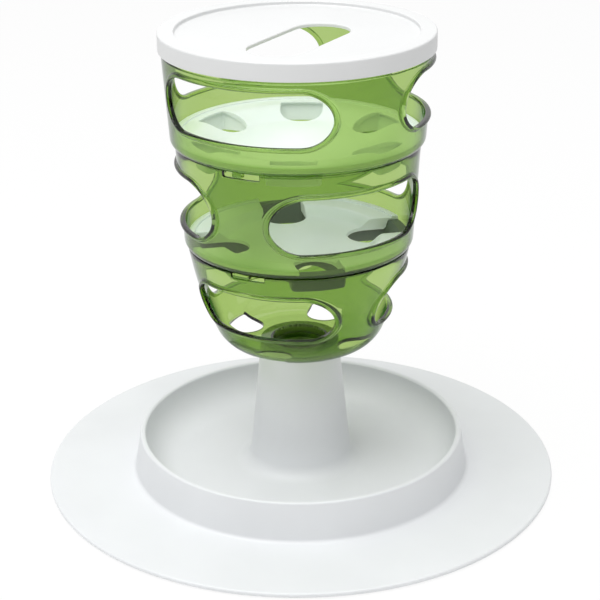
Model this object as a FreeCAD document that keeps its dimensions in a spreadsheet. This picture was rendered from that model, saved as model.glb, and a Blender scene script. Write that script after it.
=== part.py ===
import FreeCAD, Part
import math
import os
import re
import Sketcher
from FreeCAD import Placement, Rotation, Vector

# Cat food maze: a wide feeding dish whose column carries three stacked green
# tiers. Food goes in through the slot in the lid, drops through the holes of the
# two white floors and of the cup, and the cat pulls it out of the side openings.
# Millimetres, +Z up, origin on the ground at the axis, the front towards -Y.
# Angles round the axis are counted from the front or from the right, as noted.

doc = FreeCAD.newDocument("CatFoodMaze")
sheet = doc.addObject("Spreadsheet::Sheet", "Sizes")

sizes = [
    ("footProud", 0.8, "how far the rubber feet stand below the brim"),
    ("footRadius", 8.0, "radius of a rubber foot"),
    ("footInset", 1.3, "how deep a foot sits in its pocket"),
    ("footMargin", 14.0, "from the brim's edge to the middle of a foot"),
    ("footCount", 6, "number of feet"),
    ("footGap", 0.1, "clearance of a foot in its pocket"),
    ("footEdge", 0.5, "rounding of a foot"),
    ("brimRadius", 180.0, "outer radius of the dish's brim"),
    ("brimThick", 3.4, "thickness of the brim"),
    ("brimEdge", 1.5, "rounding of the brim's edge"),
    ("dishWall", 2.6, "wall of the dish and its column"),
    ("bowlRadius", 110.7, "inner radius of the ring wall at its crest"),
    ("bowlBend", 25.0, "radius of the bowl's curved side"),
    ("bowlFloor", 6.0, "height of the bowl's floor"),
    ("crestWidth", 3.9, "width of the ring wall's crest"),
    ("crestHeight", 31.8, "height of the ring wall's crest"),
    ("crestEdge", 1.7, "rounding of the crest"),
    ("rampSplay", 4.3, "how much wider the ring wall is at the brim"),
    ("rampBend", 3.0, "hollow rounding between ring wall and brim"),
    ("cavityTop", 21.0, "height of the hollow inside the ring wall"),
    ("ribCount", 12, "number of ribs under the dish"),
    ("ribWidth", 2.0, "thickness of a rib"),
    ("ribBite", 0.8, "how far a rib runs into the floor above it"),
    ("columnTop", 99.3, "height of the column's top"),
    ("columnSplay", 9.1, "how much wider the column is at its foot"),
    ("columnBend", 11.0, "hollow rounding at the foot of the column"),
    ("columnEdge", 0.8, "rounding of the column's top"),
    ("seatWidth", 6.6, "width of the ring that the cup stands on"),
    ("seatThick", 3.0, "thickness of that ring"),
    ("plugRadius", 20.3, "outer radius of the cup's plug"),
    ("plugDepth", 8.3, "length of the cup's plug"),
    ("plugGap", 0.3, "clearance of the plug in the column"),
    ("recessDepth", 2.8, "depth of the recess floor below the cup"),
    ("recessEdge", 1.4, "rounding of the recess"),
    ("keyReach", 2.6, "how far the plug's keys stand out"),
    ("keyWidth", 24.0, "angle of a key"),
    ("keySlack", 2.0, "extra angle of a key's gate on each side"),
    ("keyTurn", 30.0, "turn from locked to the gates"),
    ("keyPhase", 75.0, "angle of the first key from the right"),
    ("lockCount", 3, "keys, lugs, notches and openings round the axis"),
    ("shellWall", 2.5, "wall of the green tiers"),
    ("cupFlat", 37.0, "radius of the cup's flat underside"),
    ("cupBend", 23.5, "radius of the cup's lower bend"),
    ("cupTurn", 66.0, "angle of the cup's lower bend"),
    ("cupSide", 249.0, "radius of the cup's curved side"),
    ("cupMouth", 76.0, "outer radius of the cup's mouth"),
    ("cupHeight", 74.1, "height of the cup"),
    ("cupOpenLow", 26.2, "bottom of the cup's openings above its underside"),
    ("cupOpenTall", 31.5, "height of the cup's openings"),
    ("cupOpenReach", 49.8, "half the length of a cup opening"),
    ("cupOpenTurn", -26.5, "angle of the cup's first opening from the front"),
    ("cupNotchTurn", -26.7, "angle of the cup's first notch from the front"),
    ("cupNotchDrop", 3.4, "depth of the notches in the cup's mouth"),
    ("dropCount", 4, "number of drop holes in the cup's floor"),
    ("dropTurn", 65.0, "angle of the first drop hole from the right"),
    ("dropStart", 2.8, "from the column's top to the drop holes"),
    ("dropReach", 51.0, "outer radius of a drop hole"),
    ("dropWidth", 24.6, "width of a drop hole"),
    ("holeEdge", 1.2, "rounding of the corners of a hole"),
    ("middleStep", 2.3, "how far the middle ring's foot overhangs the cup"),
    ("middleFlare", 4.1, "how much wider the middle ring is at its mouth"),
    ("middleHeight", 71.8, "height of the middle ring"),
    ("middleBend", 6.2, "radius of the middle ring's lower bend"),
    ("middleRise", 5.6, "height of the middle ring's lower bend"),
    ("middleOpenLow", 18.1, "bottom of the middle ring's openings"),
    ("middleOpenTall", 38.0, "height of the middle ring's openings"),
    ("middleOpenReach", 57.3, "half the length of a middle opening"),
    ("middleOpenTurn", 31.5, "angle of the middle ring's first opening from the front"),
    ("middleNotchTurn", -26.7, "angle of the middle ring's first notch from the front"),
    ("middleNotchDrop", 4.1, "depth of the notches in the middle ring's mouth"),
    ("topStep", 3.3, "how far the top ring's foot overhangs the middle ring"),
    ("topFlare", 3.9, "how much wider the top ring is under the lid"),
    ("topShoulder", 62.7, "height of the shoulder under the lid"),
    ("neckTall", 10.0, "height of the top ring's neck inside the lid"),
    ("topBend", 5.0, "radius of the top ring's lower bend"),
    ("topRise", 4.8, "height of the top ring's lower bend"),
    ("topOpenLow", 20.0, "bottom of the top ring's openings"),
    ("topOpenTall", 35.3, "height of the top ring's openings"),
    ("topOpenReach", 59.8, "half the length of a top opening"),
    ("topOpenTurn", -28.0, "angle of the top ring's first opening from the front"),
    ("beadWidth", 2.8, "width of the bead round an opening"),
    ("beadProud", 1.8, "how far a bead stands out"),
    ("beadEdge", 0.8, "rounding of a bead"),
    ("flangeThick", 2.5, "thickness of the flange at the foot of a ring"),
    ("spigotGap", 0.8, "clearance of a ring's spigot in the tier below"),
    ("spigotWall", 1.4, "wall of a spigot"),
    ("spigotDrop", 2.4, "how far a spigot hangs down"),
    ("notchWidth", 18.6, "angle of a notch"),
    ("notchCorner", 1.3, "rounding of a notch's closed corner"),
    ("lugWidth", 10.0, "angle of a lug"),
    ("lugSlack", 0.2, "angle left between a lug and its notch"),
    ("lugFloat", 0.7, "gap between a lug and the bottom of its notch"),
    ("lugInset", 0.4, "how far a lug stays inside the face of its notch"),
    ("backWidth", 14.0, "angle of the web behind a lug"),
    ("plateGap", 0.3, "clearance of a floor plate in its ring"),
    ("plateThick", 2.6, "thickness of a floor plate's shelf"),
    ("plateEdge", 0.5, "rounding of a floor plate's lip"),
    ("lipWidth", 4.4, "width of the raised lip round a floor plate"),
    ("lipTall", 1.1, "height of that lip"),
    ("dishDrop", 6.0, "drop from the shelf to the middle of a floor plate"),
    ("dishThick", 2.4, "thickness of the middle of a floor plate"),
    ("slopeRun", 10.0, "width of the slope between them"),
    ("chuteRim", 1.0, "thickness of the flat ring that joins the chutes under a floor plate"),
    ("chuteLedge", 2.0, "how far a chute's inside stays behind the sides of its hole"),
    ("chuteWall", 2.0, "wall of a chute"),
    ("chuteDraft", 1.3, "how much a chute narrows on each side"),
    ("middleDish", 47.5, "radius of the middle plate's low middle"),
    ("middleHoleCount", 4, "number of holes in the middle plate"),
    ("middleHoleTurn", 11.5, "angle of its first hole from the right"),
    ("middleHoleWidth", 30.0, "width of its holes"),
    ("middleHoleStart", 34.5, "inner radius of its holes"),
    ("middleChuteDrop", 14.1, "how far its chutes hang below the flange"),
    ("middleChuteLean", 5.0, "how far the outer wall of its chutes leans inwards"),
    ("middleChuteRaise", 5.8, "how far their lower edge is raised at the inner end"),
    ("middleChuteRun", 11.5, "length of that raised stretch"),
    ("topDish", 52.0, "radius of the top plate's low middle"),
    ("topHoleCount", 6, "number of holes in the top plate"),
    ("topHoleTurn", 27.5, "angle of its first hole from the right"),
    ("topHoleWidth", 29.5, "width of its holes"),
    ("topHoleStart", 44.5, "inner radius of its holes"),
    ("topHoleReach", 73.0, "outer radius of its holes"),
    ("topChuteDrop", 11.1, "how far its chutes hang below the flange"),
    ("topChuteLean", 2.5, "how far the outer wall of its chutes leans inwards"),
    ("topChuteRaise", 3.0, "how far their lower edge is raised at the inner end"),
    ("topChuteRun", 27.0, "length of that raised stretch"),
    ("lidOverhang", 1.9, "how far the lid overhangs the top ring"),
    ("lidWall", 2.4, "wall of the lid"),
    ("lidGap", 0.4, "clearance between the lid's skirt and the neck"),
    ("lidLift", 0.3, "gap between the lid's skirt and the shoulder"),
    ("lidEdge", 1.3, "rounding of the lid's upper edge"),
    ("lidRim", 11.0, "width of the lid's flat rim"),
    ("panelDrop", 2.8, "depth of the lid's sunk panel"),
    ("panelEdge", 0.9, "rounding of the panel's edge"),
    ("collarGap", 0.5, "clearance of the lid's inner collar in the neck"),
    ("collarWall", 1.5, "wall of that collar"),
    ("collarDrop", 6.0, "length of that collar"),
    ("slotLong", 95.0, "length of the food slot"),
    ("slotWidth", 39.5, "width of the food slot"),
    ("slotRight", 1.5, "how far the slot's middle lies to the right"),
    ("slotFront", 19.0, "how far the slot's middle lies to the front"),
    ("slotTurn", 60.0, "angle of the slot from the right"),
    ("slotEdge", 0.8, "rounding of the slot's edge"),
    ("bite", 0.2, "how far cuts and joined shapes run past one another"),
    ("wide", 400.0, "a reach beyond everything, for cuts"),
]

# Sizes that follow from the ones above.
derived = [
    ("brimTop", "footProud + brimThick", "height of the brim's top"),
    ("rampTop", "bowlRadius + crestWidth", "outer radius of the ring wall at its crest"),
    ("rampFoot", "rampTop + rampSplay", "outer radius of the ring wall at the brim"),
    ("rampSlope", "rampSplay / (crestHeight - brimTop)", "lean of the ring wall"),
    ("bendMiddle", "bowlRadius - bowlBend", "radius at which the bowl's curved side starts"),
    ("boreRadius", "plugRadius + plugGap", "inner radius of the column's seat"),
    ("columnHead", "boreRadius + seatWidth", "outer radius of the column's top"),
    ("columnFoot", "columnHead + columnSplay", "outer radius of the column's foot"),
    ("columnSlope", "columnSplay / (columnTop - bowlFloor)", "lean of the column"),
    ("cupInner", "cupBend - shellWall", "radius of the lower bend inside the cup"),
    ("beadBend", "cupBend + beadProud", "radius of the lower bend at the face of the beads"),
    ("dropInner", "columnHead + dropStart", "inner radius of a drop hole"),
    ("middleFoot", "cupMouth + middleStep", "outer radius of the middle ring above its bend"),
    ("middleMouth", "middleFoot + middleFlare", "outer radius of the middle ring's mouth"),
    ("topFoot", "middleMouth + topStep", "outer radius of the top ring above its bend"),
    ("topMouth", "topFoot + topFlare", "outer radius of the top ring under the lid"),
    ("topHeight", "topShoulder + neckTall", "height of the top ring with its neck"),
    ("middleBase", "columnTop + cupHeight", "height of the middle ring above the ground"),
    ("topBase", "middleBase + middleHeight", "height of the top ring above the ground"),
    ("lidRadius", "topMouth + lidOverhang", "outer radius of the lid"),
    ("neckRadius", "lidRadius - lidWall - lidGap", "outer radius of the neck"),
    ("neckInner", "topMouth - shellWall", "inner radius of the neck"),
    ("lidTall", "neckTall - lidLift + lidWall", "height of the lid"),
    ("panelRadius", "lidRadius - lidRim", "radius of the lid's sunk panel"),
    ("collarRadius", "neckInner - collarGap", "outer radius of the lid's inner collar"),
    ("middleSpigot", "cupMouth - shellWall - spigotGap", "outer radius of the middle ring's spigot"),
    ("topSpigot", "middleMouth - shellWall - spigotGap", "outer radius of the top ring's spigot"),
]
for row, (alias, content, note) in enumerate(sizes + derived, 1):
    sheet.set(f"A{row}", note)
    sheet.set(f"B{row}", f"={content}" if isinstance(content, str) else str(content))
    sheet.setAlias(f"B{row}", alias)
doc.recompute()
aliases = {alias for alias, content, note in sizes + derived}

full = math.degrees(math.tau)
front = math.degrees(math.pi / 2)
close = 0.01


def link(formula):
    """The formula with each size in it named as a cell of the sheet."""
    def named(match):
        word = match.group(0)
        return "Sizes." + word if word in aliases else word
    return re.sub(r"[A-Za-z]+", named, str(formula))


def value(formula):
    """What the formula comes to with the sheet's present sizes."""
    number = sheet.evalExpression(link(formula))
    return float(getattr(number, "Value", number))


def origin(body, role):
    """One of the body's own origin planes or axes."""
    return next(item for item in body.Origin.OriginFeatures if item.Role == role)


def newBody(label, height="0", turn="0"):
    """A body that stands at a height on the axis, turned about it."""
    body = doc.addObject("PartDesign::Body", label)
    body.Label = label
    body.Placement = Placement(Vector(), Rotation(Vector(0, 0, 1), 1))
    body.setExpression("Placement.Base.z", link(height))
    body.setExpression("Placement.Rotation.Angle", link(turn))
    return body


def newSketch(body, name, role, lift, turn, shift):
    """An empty sketch on an origin plane, lifted off it and turned about the axis."""
    sketch = body.newObject("Sketcher::SketchObject", name)
    sketch.AttachmentSupport = [(origin(body, role), "")]
    sketch.MapMode = "FlatFace"
    axis = Vector(0, 0, 1) if role == "XY_Plane" else Vector(0, 1, 0)
    sketch.AttachmentOffset = Placement(Vector(), Rotation(axis, 1))
    sketch.setExpression("AttachmentOffset.Base.x", link(shift[0]))
    sketch.setExpression("AttachmentOffset.Base.y", link(shift[1]))
    sketch.setExpression("AttachmentOffset.Base.z", link(lift))
    sketch.setExpression("AttachmentOffset.Rotation.Angle", link(turn))
    sketch.Visibility = False
    return sketch


def rule(sketch, kind, *places, formula):
    """A sketch dimension that is bound to a formula."""
    number = sketch.addConstraint(Sketcher.Constraint(kind, *places, value(formula)))
    sketch.setExpression(f"Constraints[{number}]", link(formula))


def arcCentre(start, end, kind, size, side):
    """Centre of an arc from its radius, or from the place of its centre along x."""
    middle = (start + end) / 2
    if kind == "centre":
        return Vector(size, middle.y, 0)
    chord = end - start
    across = Vector(-chord.y, chord.x, 0).normalize()
    return middle + across * side * (size ** 2 - chord.Length ** 2 / 4) ** 0.5


def outline(body, name, role, corners, lift="0", turn="0", shift=("0", "0")):
    """A closed sketch through corners (x, y); a third entry bends the way to the next.

    A bend is ("radius", size, side) or ("centre", x of its centre, side), where side
    is 1 with the centre on the left of the way and -1 with it on the right.
    """
    sketch = newSketch(body, name, role, lift, turn, shift)
    points = [Vector(value(corner[0]), value(corner[1]), 0) for corner in corners]
    ends = []
    for index, corner in enumerate(corners):
        start = points[index]
        end = points[(index + 1) % len(points)]
        if len(corner) == 2:
            sketch.addGeometry(Part.LineSegment(start, end), False)
            ends.append((1, 2))
            continue
        kind, size, side = corner[2]
        centre = arcCentre(start, end, kind, value(size), side)
        circle = Part.Circle(centre, Vector(0, 0, 1), (start - centre).Length)
        first, last = (start, end) if side > 0 else (end, start)
        arc = Part.ArcOfCircle(circle, circle.parameter(first), circle.parameter(last))
        sketch.addGeometry(arc, False)
        ends.append((1, 2) if side > 0 else (2, 1))
    for index, corner in enumerate(corners):
        following = (index + 1) % len(corners)
        meeting = (index, ends[index][1], following, ends[following][0])
        sketch.addConstraint(Sketcher.Constraint("Coincident", *meeting))
    for index, corner in enumerate(corners):
        here = (-1, 1, index, ends[index][0])
        rule(sketch, "DistanceX", *here, formula=corner[0])
        rule(sketch, "DistanceY", *here, formula=corner[1])
        if len(corner) == 3:
            kind, size, side = corner[2]
            if kind == "radius":
                rule(sketch, "Radius", index, formula=size)
            else:
                rule(sketch, "DistanceX", -1, 1, index, 3, formula=size)
    return sketch


def disc(body, name, radius, lift, shift):
    """A sketch of one circle."""
    sketch = newSketch(body, name, "XY_Plane", lift, "0", shift)
    sketch.addGeometry(Part.Circle(Vector(), Vector(0, 0, 1), value(radius)), False)
    sketch.addConstraint(Sketcher.Constraint("Coincident", 0, 3, -1, 1))
    rule(sketch, "Radius", 0, formula=radius)
    return sketch


def revolve(body, name, sketch, kind="Revolution", angle=full):
    """Turns a sketch about the axis, as material or, for a Groove, as a cut."""
    before = body.Shape.Volume if body.Tip else 0
    feature = body.newObject("PartDesign::" + kind, name)
    feature.Profile = sketch
    feature.ReferenceAxis = (origin(body, "Z_Axis"), [""])
    feature.Midplane = angle != full
    feature.setExpression("Angle", link(angle))
    doc.recompute()
    if kind == "Groove" and not feature.Shape.Volume < before:
        raise ValueError(name + " cuts nothing")
    return feature


def pad(body, name, sketch, length):
    """Raises a sketch off its plane."""
    feature = body.newObject("PartDesign::Pad", name)
    feature.Profile = sketch
    feature.setExpression("Length", link(length))
    doc.recompute()
    return feature


def pocket(body, name, sketch, length, onward=False):
    """Cuts a sketch into the body, behind its plane or, onward, before it."""
    before = body.Shape.Volume
    feature = body.newObject("PartDesign::Pocket", name)
    feature.Profile = sketch
    feature.Reversed = onward
    feature.setExpression("Length", link(length))
    doc.recompute()
    if not feature.Shape.Volume < before:
        raise ValueError(name + " cuts nothing")
    return feature


def around(body, name, originals, count):
    """Repeats features evenly round the axis."""
    pattern = body.newObject("PartDesign::PolarPattern", name)
    pattern.Originals = originals
    pattern.Axis = (origin(body, "Z_Axis"), [""])
    pattern.Angle = full
    pattern.setExpression("Occurrences", link(count))
    body.Tip = pattern
    doc.recompute()
    return pattern


def fillet(body, name, radius, chosen):
    """Rounds the edges that the test picks out of the body's present shape."""
    base = body.Tip
    edges = enumerate(base.Shape.Edges, 1)
    names = [f"Edge{index}" for index, edge in edges if chosen(edge)]
    if not names:
        raise ValueError(name + " finds no edge")
    feature = body.newObject("PartDesign::Fillet", name)
    feature.Base = (base, names)
    feature.setExpression("Radius", link(radius))
    doc.recompute()
    return feature


def near(number, formula):
    """Whether a measured number is what the formula comes to."""
    return abs(number - value(formula)) < close


def ringAt(*places):
    """Picks circles round the axis by radius and height."""
    def chosen(edge):
        curve = edge.Curve
        if curve.TypeId != "Part::GeomCircle" or curve.Center.cross(Vector(0, 0, 1)).Length > close:
            return False
        return any(near(curve.Radius, radius) and near(curve.Center.z, height)
                   for radius, height in places)
    return chosen


def isLine(edge, steepest, flattest):
    """Whether an edge is straight and climbs between two limits, 1 being upright."""
    if edge.Curve.TypeId != "Part::GeomLine":
        return False
    return flattest <= abs(edge.tangentAt(edge.FirstParameter).z) <= steepest


def uprightAt(radius):
    """Picks upright edges by their distance from the axis."""
    def chosen(edge):
        point = edge.valueAt(edge.FirstParameter)
        return isLine(edge, 1 + close, 1 - close) and near(math.hypot(point.x, point.y), radius)
    return chosen


def stadium(reach, low, tall):
    """Corners of an upright slot with round ends, reach to each side of the middle."""
    straight = f"({reach} - ({tall}) / 2)"
    high = f"({low} + {tall})"
    return [
        (f"-{straight}", low),
        (straight, low, ("centre", straight, 1)),
        (straight, high),
        (f"-{straight}", high, ("centre", f"-{straight}", 1)),
    ]


def feedHole(start, reach, width):
    """Corners of a hole along +X: round towards the axis, cut off by an arc about it."""
    bend = f"({start} + {width} / 2)"
    corner = f"sqrt(({reach})^2 - ({width} / 2)^2)"
    return [
        (bend, f"-{width} / 2"),
        (corner, f"-{width} / 2", ("centre", "0", 1)),
        (corner, f"{width} / 2"),
        (bend, f"{width} / 2", ("centre", bend, 1)),
    ]


def baseDish():
    """The white dish: flat brim, ring wall, bowl and the hollow column in one moulding."""
    body = newBody("base_dish")
    cavityOuter = "rampFoot - dishWall - rampSlope * (cavityTop - footProud)"
    cavityInner = "bendMiddle + sqrt((bowlBend + dishWall)^2 - (bowlFloor + bowlBend - cavityTop)^2)"
    profile = outline(body, "dishProfile", "XZ_Plane", [
        ("boreRadius", "columnTop"),
        ("boreRadius", "columnTop - seatThick"),
        ("columnHead - dishWall + columnSlope * seatThick", "columnTop - seatThick"),
        ("columnFoot - dishWall", "bowlFloor - dishWall"),
        ("bendMiddle", "bowlFloor - dishWall", ("radius", "bowlBend + dishWall", 1)),
        (cavityInner, "cavityTop"),
        (cavityOuter, "cavityTop"),
        ("rampFoot - dishWall", "footProud"),
        ("brimRadius", "footProud"),
        ("brimRadius", "brimTop"),
        ("rampFoot", "brimTop"),
        ("rampTop", "crestHeight"),
        ("bowlRadius", "crestHeight"),
        ("bowlRadius", "bowlFloor + bowlBend", ("radius", "bowlBend", -1)),
        ("bendMiddle", "bowlFloor"),
        ("columnFoot", "bowlFloor"),
        ("columnHead", "columnTop"),
    ])
    revolve(body, "dishShell", profile)
    fillet(body, "columnFootBend", "columnBend", ringAt(("columnFoot", "bowlFloor")))
    fillet(body, "columnFootInside", "columnBend - dishWall",
           ringAt(("columnFoot - dishWall", "bowlFloor - dishWall")))
    fillet(body, "columnTopEdge", "columnEdge", ringAt(("columnHead", "columnTop")))
    fillet(body, "crestRound", "crestEdge",
           ringAt(("rampTop", "crestHeight"), ("bowlRadius", "crestHeight")))
    fillet(body, "rampFootBend", "rampBend", ringAt(("rampFoot", "brimTop")))
    fillet(body, "brimRound", "brimEdge",
           ringAt(("brimRadius", "brimTop"), ("brimRadius", "footProud")))
    # Gates in the column's seat, where the plug's keys drop in before they are turned.
    gate = outline(body, "gateProfile", "XZ_Plane", [
        ("boreRadius - bite", "columnTop - seatThick - bite"),
        ("boreRadius + keyReach", "columnTop - seatThick - bite"),
        ("boreRadius + keyReach", "columnTop + bite"),
        ("boreRadius - bite", "columnTop + bite"),
    ], turn="keyPhase + keyTurn")
    gateCut = revolve(body, "gate", gate, "Groove", "keyWidth + 2 * keySlack")
    around(body, "gates", [gateCut], "lockCount")
    # Ribs between the column and the ring wall, under the bowl's floor.
    rib = outline(body, "ribProfile", "XY_Plane", [
        ("columnFoot", "-ribWidth / 2"),
        ("rampFoot - dishWall / 2", "-ribWidth / 2"),
        ("rampFoot - dishWall / 2", "ribWidth / 2"),
        ("columnFoot", "ribWidth / 2"),
    ], lift="footProud")
    ribPad = pad(body, "rib", rib, "bowlFloor - dishWall + ribBite - footProud")
    around(body, "ribs", [ribPad], "ribCount")
    footPlace = disc(body, "footPocketCircle", "footRadius + footGap", "footProud + footInset",
                     ("brimRadius - footMargin", "0"))
    footPocket = pocket(body, "footPocket", footPlace, "footInset + bite")
    around(body, "footPockets", [footPocket], "footCount")
    return body


def rubberFoot(number):
    """A rubber pad that is glued into its pocket under the brim."""
    body = newBody(f"rubber_foot_{number + 1}")
    angle = f"{full} / footCount * {number}"
    body.setExpression("Placement.Base.x", link(f"(brimRadius - footMargin) * cos({angle})"))
    body.setExpression("Placement.Base.y", link(f"(brimRadius - footMargin) * sin({angle})"))
    pad(body, "footPad", disc(body, "footCircle", "footRadius", "0", ("0", "0")),
        "footProud + footInset")
    fillet(body, "footRound", "footEdge", ringAt(("footRadius", "0")))
    return body


def openTier(body, reach, low, tall, outside, inside, skin):
    """Beads and side openings of a tier, the first one at the body's front.

    outside and inside are the corners of the space beyond the beads and of the
    tier's hollow; skin gives the outer radius of its wall at a height.
    """
    beadCorners = stadium(f"({reach} + beadWidth)", f"({low} - beadWidth)", f"({tall} + 2 * beadWidth)")
    bead = pad(body, "bead", outline(body, "beadOutline", "XZ_Plane", beadCorners), "wide / 2")
    around(body, "beads", [bead], "lockCount")
    revolve(body, "beadFace", outline(body, "beadFaceProfile", "XZ_Plane", outside), "Groove")
    revolve(body, "hollow", outline(body, "hollowProfile", "XZ_Plane", inside), "Groove")
    openCorners = stadium(f"({reach})", f"({low})", f"({tall})")
    opening = pocket(body, "opening", outline(body, "openingOutline", "XZ_Plane", openCorners),
                     "wide", onward=True)
    around(body, "openings", [opening], "lockCount")

    lowest = value(f"{low} - beadWidth") - close
    highest = value(f"{low} + {tall} + beadWidth") + close

    def onCrest(edge):
        """Whether the edge runs all the way along the face of a bead."""
        return all(lowest < point.z < highest
                   and math.hypot(point.x, point.y) - skin(point.z) > value("beadProud / 2")
                   for point in edge.discretize(5))
    fillet(body, "beadRound", "beadEdge", onCrest)


def notchMouth(body, mouth, height, drop, turn):
    """Notches in a tier's mouth, in which the lugs of the tier above turn."""
    corners = [
        (f"{mouth} - 2 * shellWall", f"{height} - {drop}"),
        (f"{mouth} + shellWall", f"{height} - {drop}"),
        (f"{mouth} + shellWall", f"{height} + bite"),
        (f"{mouth} - 2 * shellWall", f"{height} + bite"),
    ]
    profile = outline(body, "notchProfile", "XZ_Plane", corners, turn=f"{turn} - {front}")
    notch = revolve(body, "notch", profile, "Groove", "notchWidth")
    around(body, "notches", [notch], "lockCount")
    left = value(f"{turn} - {front} - notchWidth / 2")
    pitch = value(f"{full} / lockCount")

    def closedCorner(edge):
        """Whether the edge crosses the wall at the bottom left of a notch."""
        point = edge.valueAt(edge.FirstParameter)
        offset = (math.degrees(math.atan2(point.y, point.x)) - left) % pitch
        return (isLine(edge, close, 0) and near(point.z, f"{height} - {drop}")
                and min(offset, pitch - offset) < close)
    fillet(body, "notchRound", "notchCorner", closedCorner)


def addLugs(body, spigot, mouth, drop, turn):
    """Lugs that hang from a ring into the notches below, each on a web of the spigot."""
    middle = f"{turn} - {front} - notchWidth / 2 + lugSlack + lugWidth / 2"
    depth = f"({drop} - lugFloat)"
    webCorners = [
        (f"{spigot} - spigotWall", f"-{depth}"),
        (spigot, f"-{depth}"),
        (spigot, "bite"),
        (f"{spigot} - spigotWall", "bite"),
    ]
    web = revolve(body, "lugWeb", outline(body, "lugWebProfile", "XZ_Plane", webCorners, turn=middle),
                  angle="backWidth")
    lugCorners = [
        (f"{spigot} - spigotWall / 2", f"-{depth}"),
        (f"{mouth} - lugInset", f"-{depth}"),
        (f"{mouth} - lugInset", "0"),
        (f"{spigot} - spigotWall / 2", "0"),
    ]
    lug = revolve(body, "lug", outline(body, "lugProfile", "XZ_Plane", lugCorners, turn=middle),
                  angle="lugWidth")
    around(body, "lugs", [web, lug], "lockCount")


def bottomCup():
    """The green cup on the column, with drop holes in its floor and a keyed plug."""
    body = newBody("bottom_cup", "columnTop", "cupOpenTurn")
    outerEnd = ("cupFlat + cupBend * sin(cupTurn)", "cupBend - cupBend * cos(cupTurn)")
    innerEnd = ("cupFlat + cupInner * sin(cupTurn)", "cupBend - cupInner * cos(cupTurn)")
    beadEnd = ("cupFlat + beadBend * sin(cupTurn)", "cupBend - beadBend * cos(cupTurn)")
    profile = outline(body, "cupProfile", "XZ_Plane", [
        ("0", "-recessDepth - shellWall"),
        ("plugRadius - shellWall", "-recessDepth - shellWall"),
        ("plugRadius - shellWall", "-plugDepth"),
        ("plugRadius", "-plugDepth"),
        ("plugRadius", "0"),
        ("cupFlat", "0", ("radius", "cupBend", 1)),
        (*outerEnd, ("radius", "cupSide", 1)),
        ("cupMouth", "cupHeight"),
        ("cupMouth - shellWall", "cupHeight", ("radius", "cupSide - shellWall", -1)),
        (*innerEnd, ("radius", "cupInner", -1)),
        ("cupFlat", "shellWall"),
        ("plugRadius - shellWall", "shellWall"),
        ("plugRadius - shellWall", "-recessDepth"),
        ("0", "-recessDepth"),
    ])
    revolve(body, "cupShell", profile)
    fillet(body, "recessRound", "recessEdge", ringAt(("plugRadius - shellWall", "shellWall")))
    outside = [
        (*beadEnd, ("radius", "cupSide + beadProud", 1)),
        ("cupMouth + beadProud", "cupHeight"),
        ("wide", "cupHeight"),
        ("wide", beadEnd[1]),
    ]
    inside = [
        ("0", innerEnd[1]),
        (*innerEnd, ("radius", "cupSide - shellWall", 1)),
        ("cupMouth - shellWall", "cupHeight"),
        ("0", "cupHeight"),
    ]
    low = Vector(value(outerEnd[0]), value(outerEnd[1]), 0)
    high = Vector(value("cupMouth"), value("cupHeight"), 0)
    centre = arcCentre(low, high, "radius", value("cupSide"), 1)

    def skin(height):
        return centre.x + (value("cupSide") ** 2 - (height - centre.y) ** 2) ** 0.5
    openTier(body, "cupOpenReach", "cupOpenLow", "cupOpenTall", outside, inside, skin)
    notchMouth(body, "cupMouth", "cupHeight", "cupNotchDrop", "cupNotchTurn - cupOpenTurn")
    holeCorners = feedHole("dropInner", "dropReach", "dropWidth")
    hole = pocket(body, "dropHole", outline(body, "dropHoleOutline", "XY_Plane", holeCorners,
                                            lift="cupInner", turn="dropTurn - cupOpenTurn"), "wide")
    around(body, "dropHoles", [hole], "dropCount")
    fillet(body, "dropHoleRound", "holeEdge", uprightAt("dropReach"))
    keyCorners = [
        ("plugRadius - bite", "-plugDepth"),
        ("plugRadius + keyReach", "-plugDepth"),
        ("plugRadius + keyReach", "-seatThick - plugGap"),
        ("plugRadius - bite", "-seatThick - plugGap"),
    ]
    key = revolve(body, "key", outline(body, "keyProfile", "XZ_Plane", keyCorners,
                                       turn="keyPhase - cupOpenTurn"), angle="keyWidth")
    around(body, "keys", [key], "lockCount")
    return body


def ringFoot(spigot, foot, bend, rise):
    """Corners of a ring's lower end, from the inside of the spigot to its outer wall."""
    return [
        (f"{spigot} - spigotWall", "flangeThick"),
        (f"{spigot} - spigotWall", "-spigotDrop"),
        (spigot, "-spigotDrop"),
        (spigot, "0"),
        (f"{foot} - {bend} + sqrt({bend}^2 - {rise}^2)", "0", ("radius", bend, 1)),
        (foot, rise),
    ]


def ringSpaces(foot, rise, mouth, height):
    """Corners of the space beyond a ring's beads and of its hollow."""
    outside = [
        (f"{foot} + beadProud", rise),
        (f"{mouth} + beadProud", height),
        ("wide", height),
        ("wide", rise),
    ]
    inside = [
        ("0", "flangeThick"),
        (f"{foot} - shellWall", "flangeThick"),
        (f"{mouth} - shellWall", height),
        ("0", height),
    ]
    return outside, inside


def ringSkin(foot, rise, mouth, height):
    """Outer radius of a ring's straight wall at a height."""
    base = value(foot)
    slope = (value(mouth) - base) / (value(height) - value(rise))

    def skin(level):
        return base + slope * (level - value(rise))
    return skin


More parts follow.
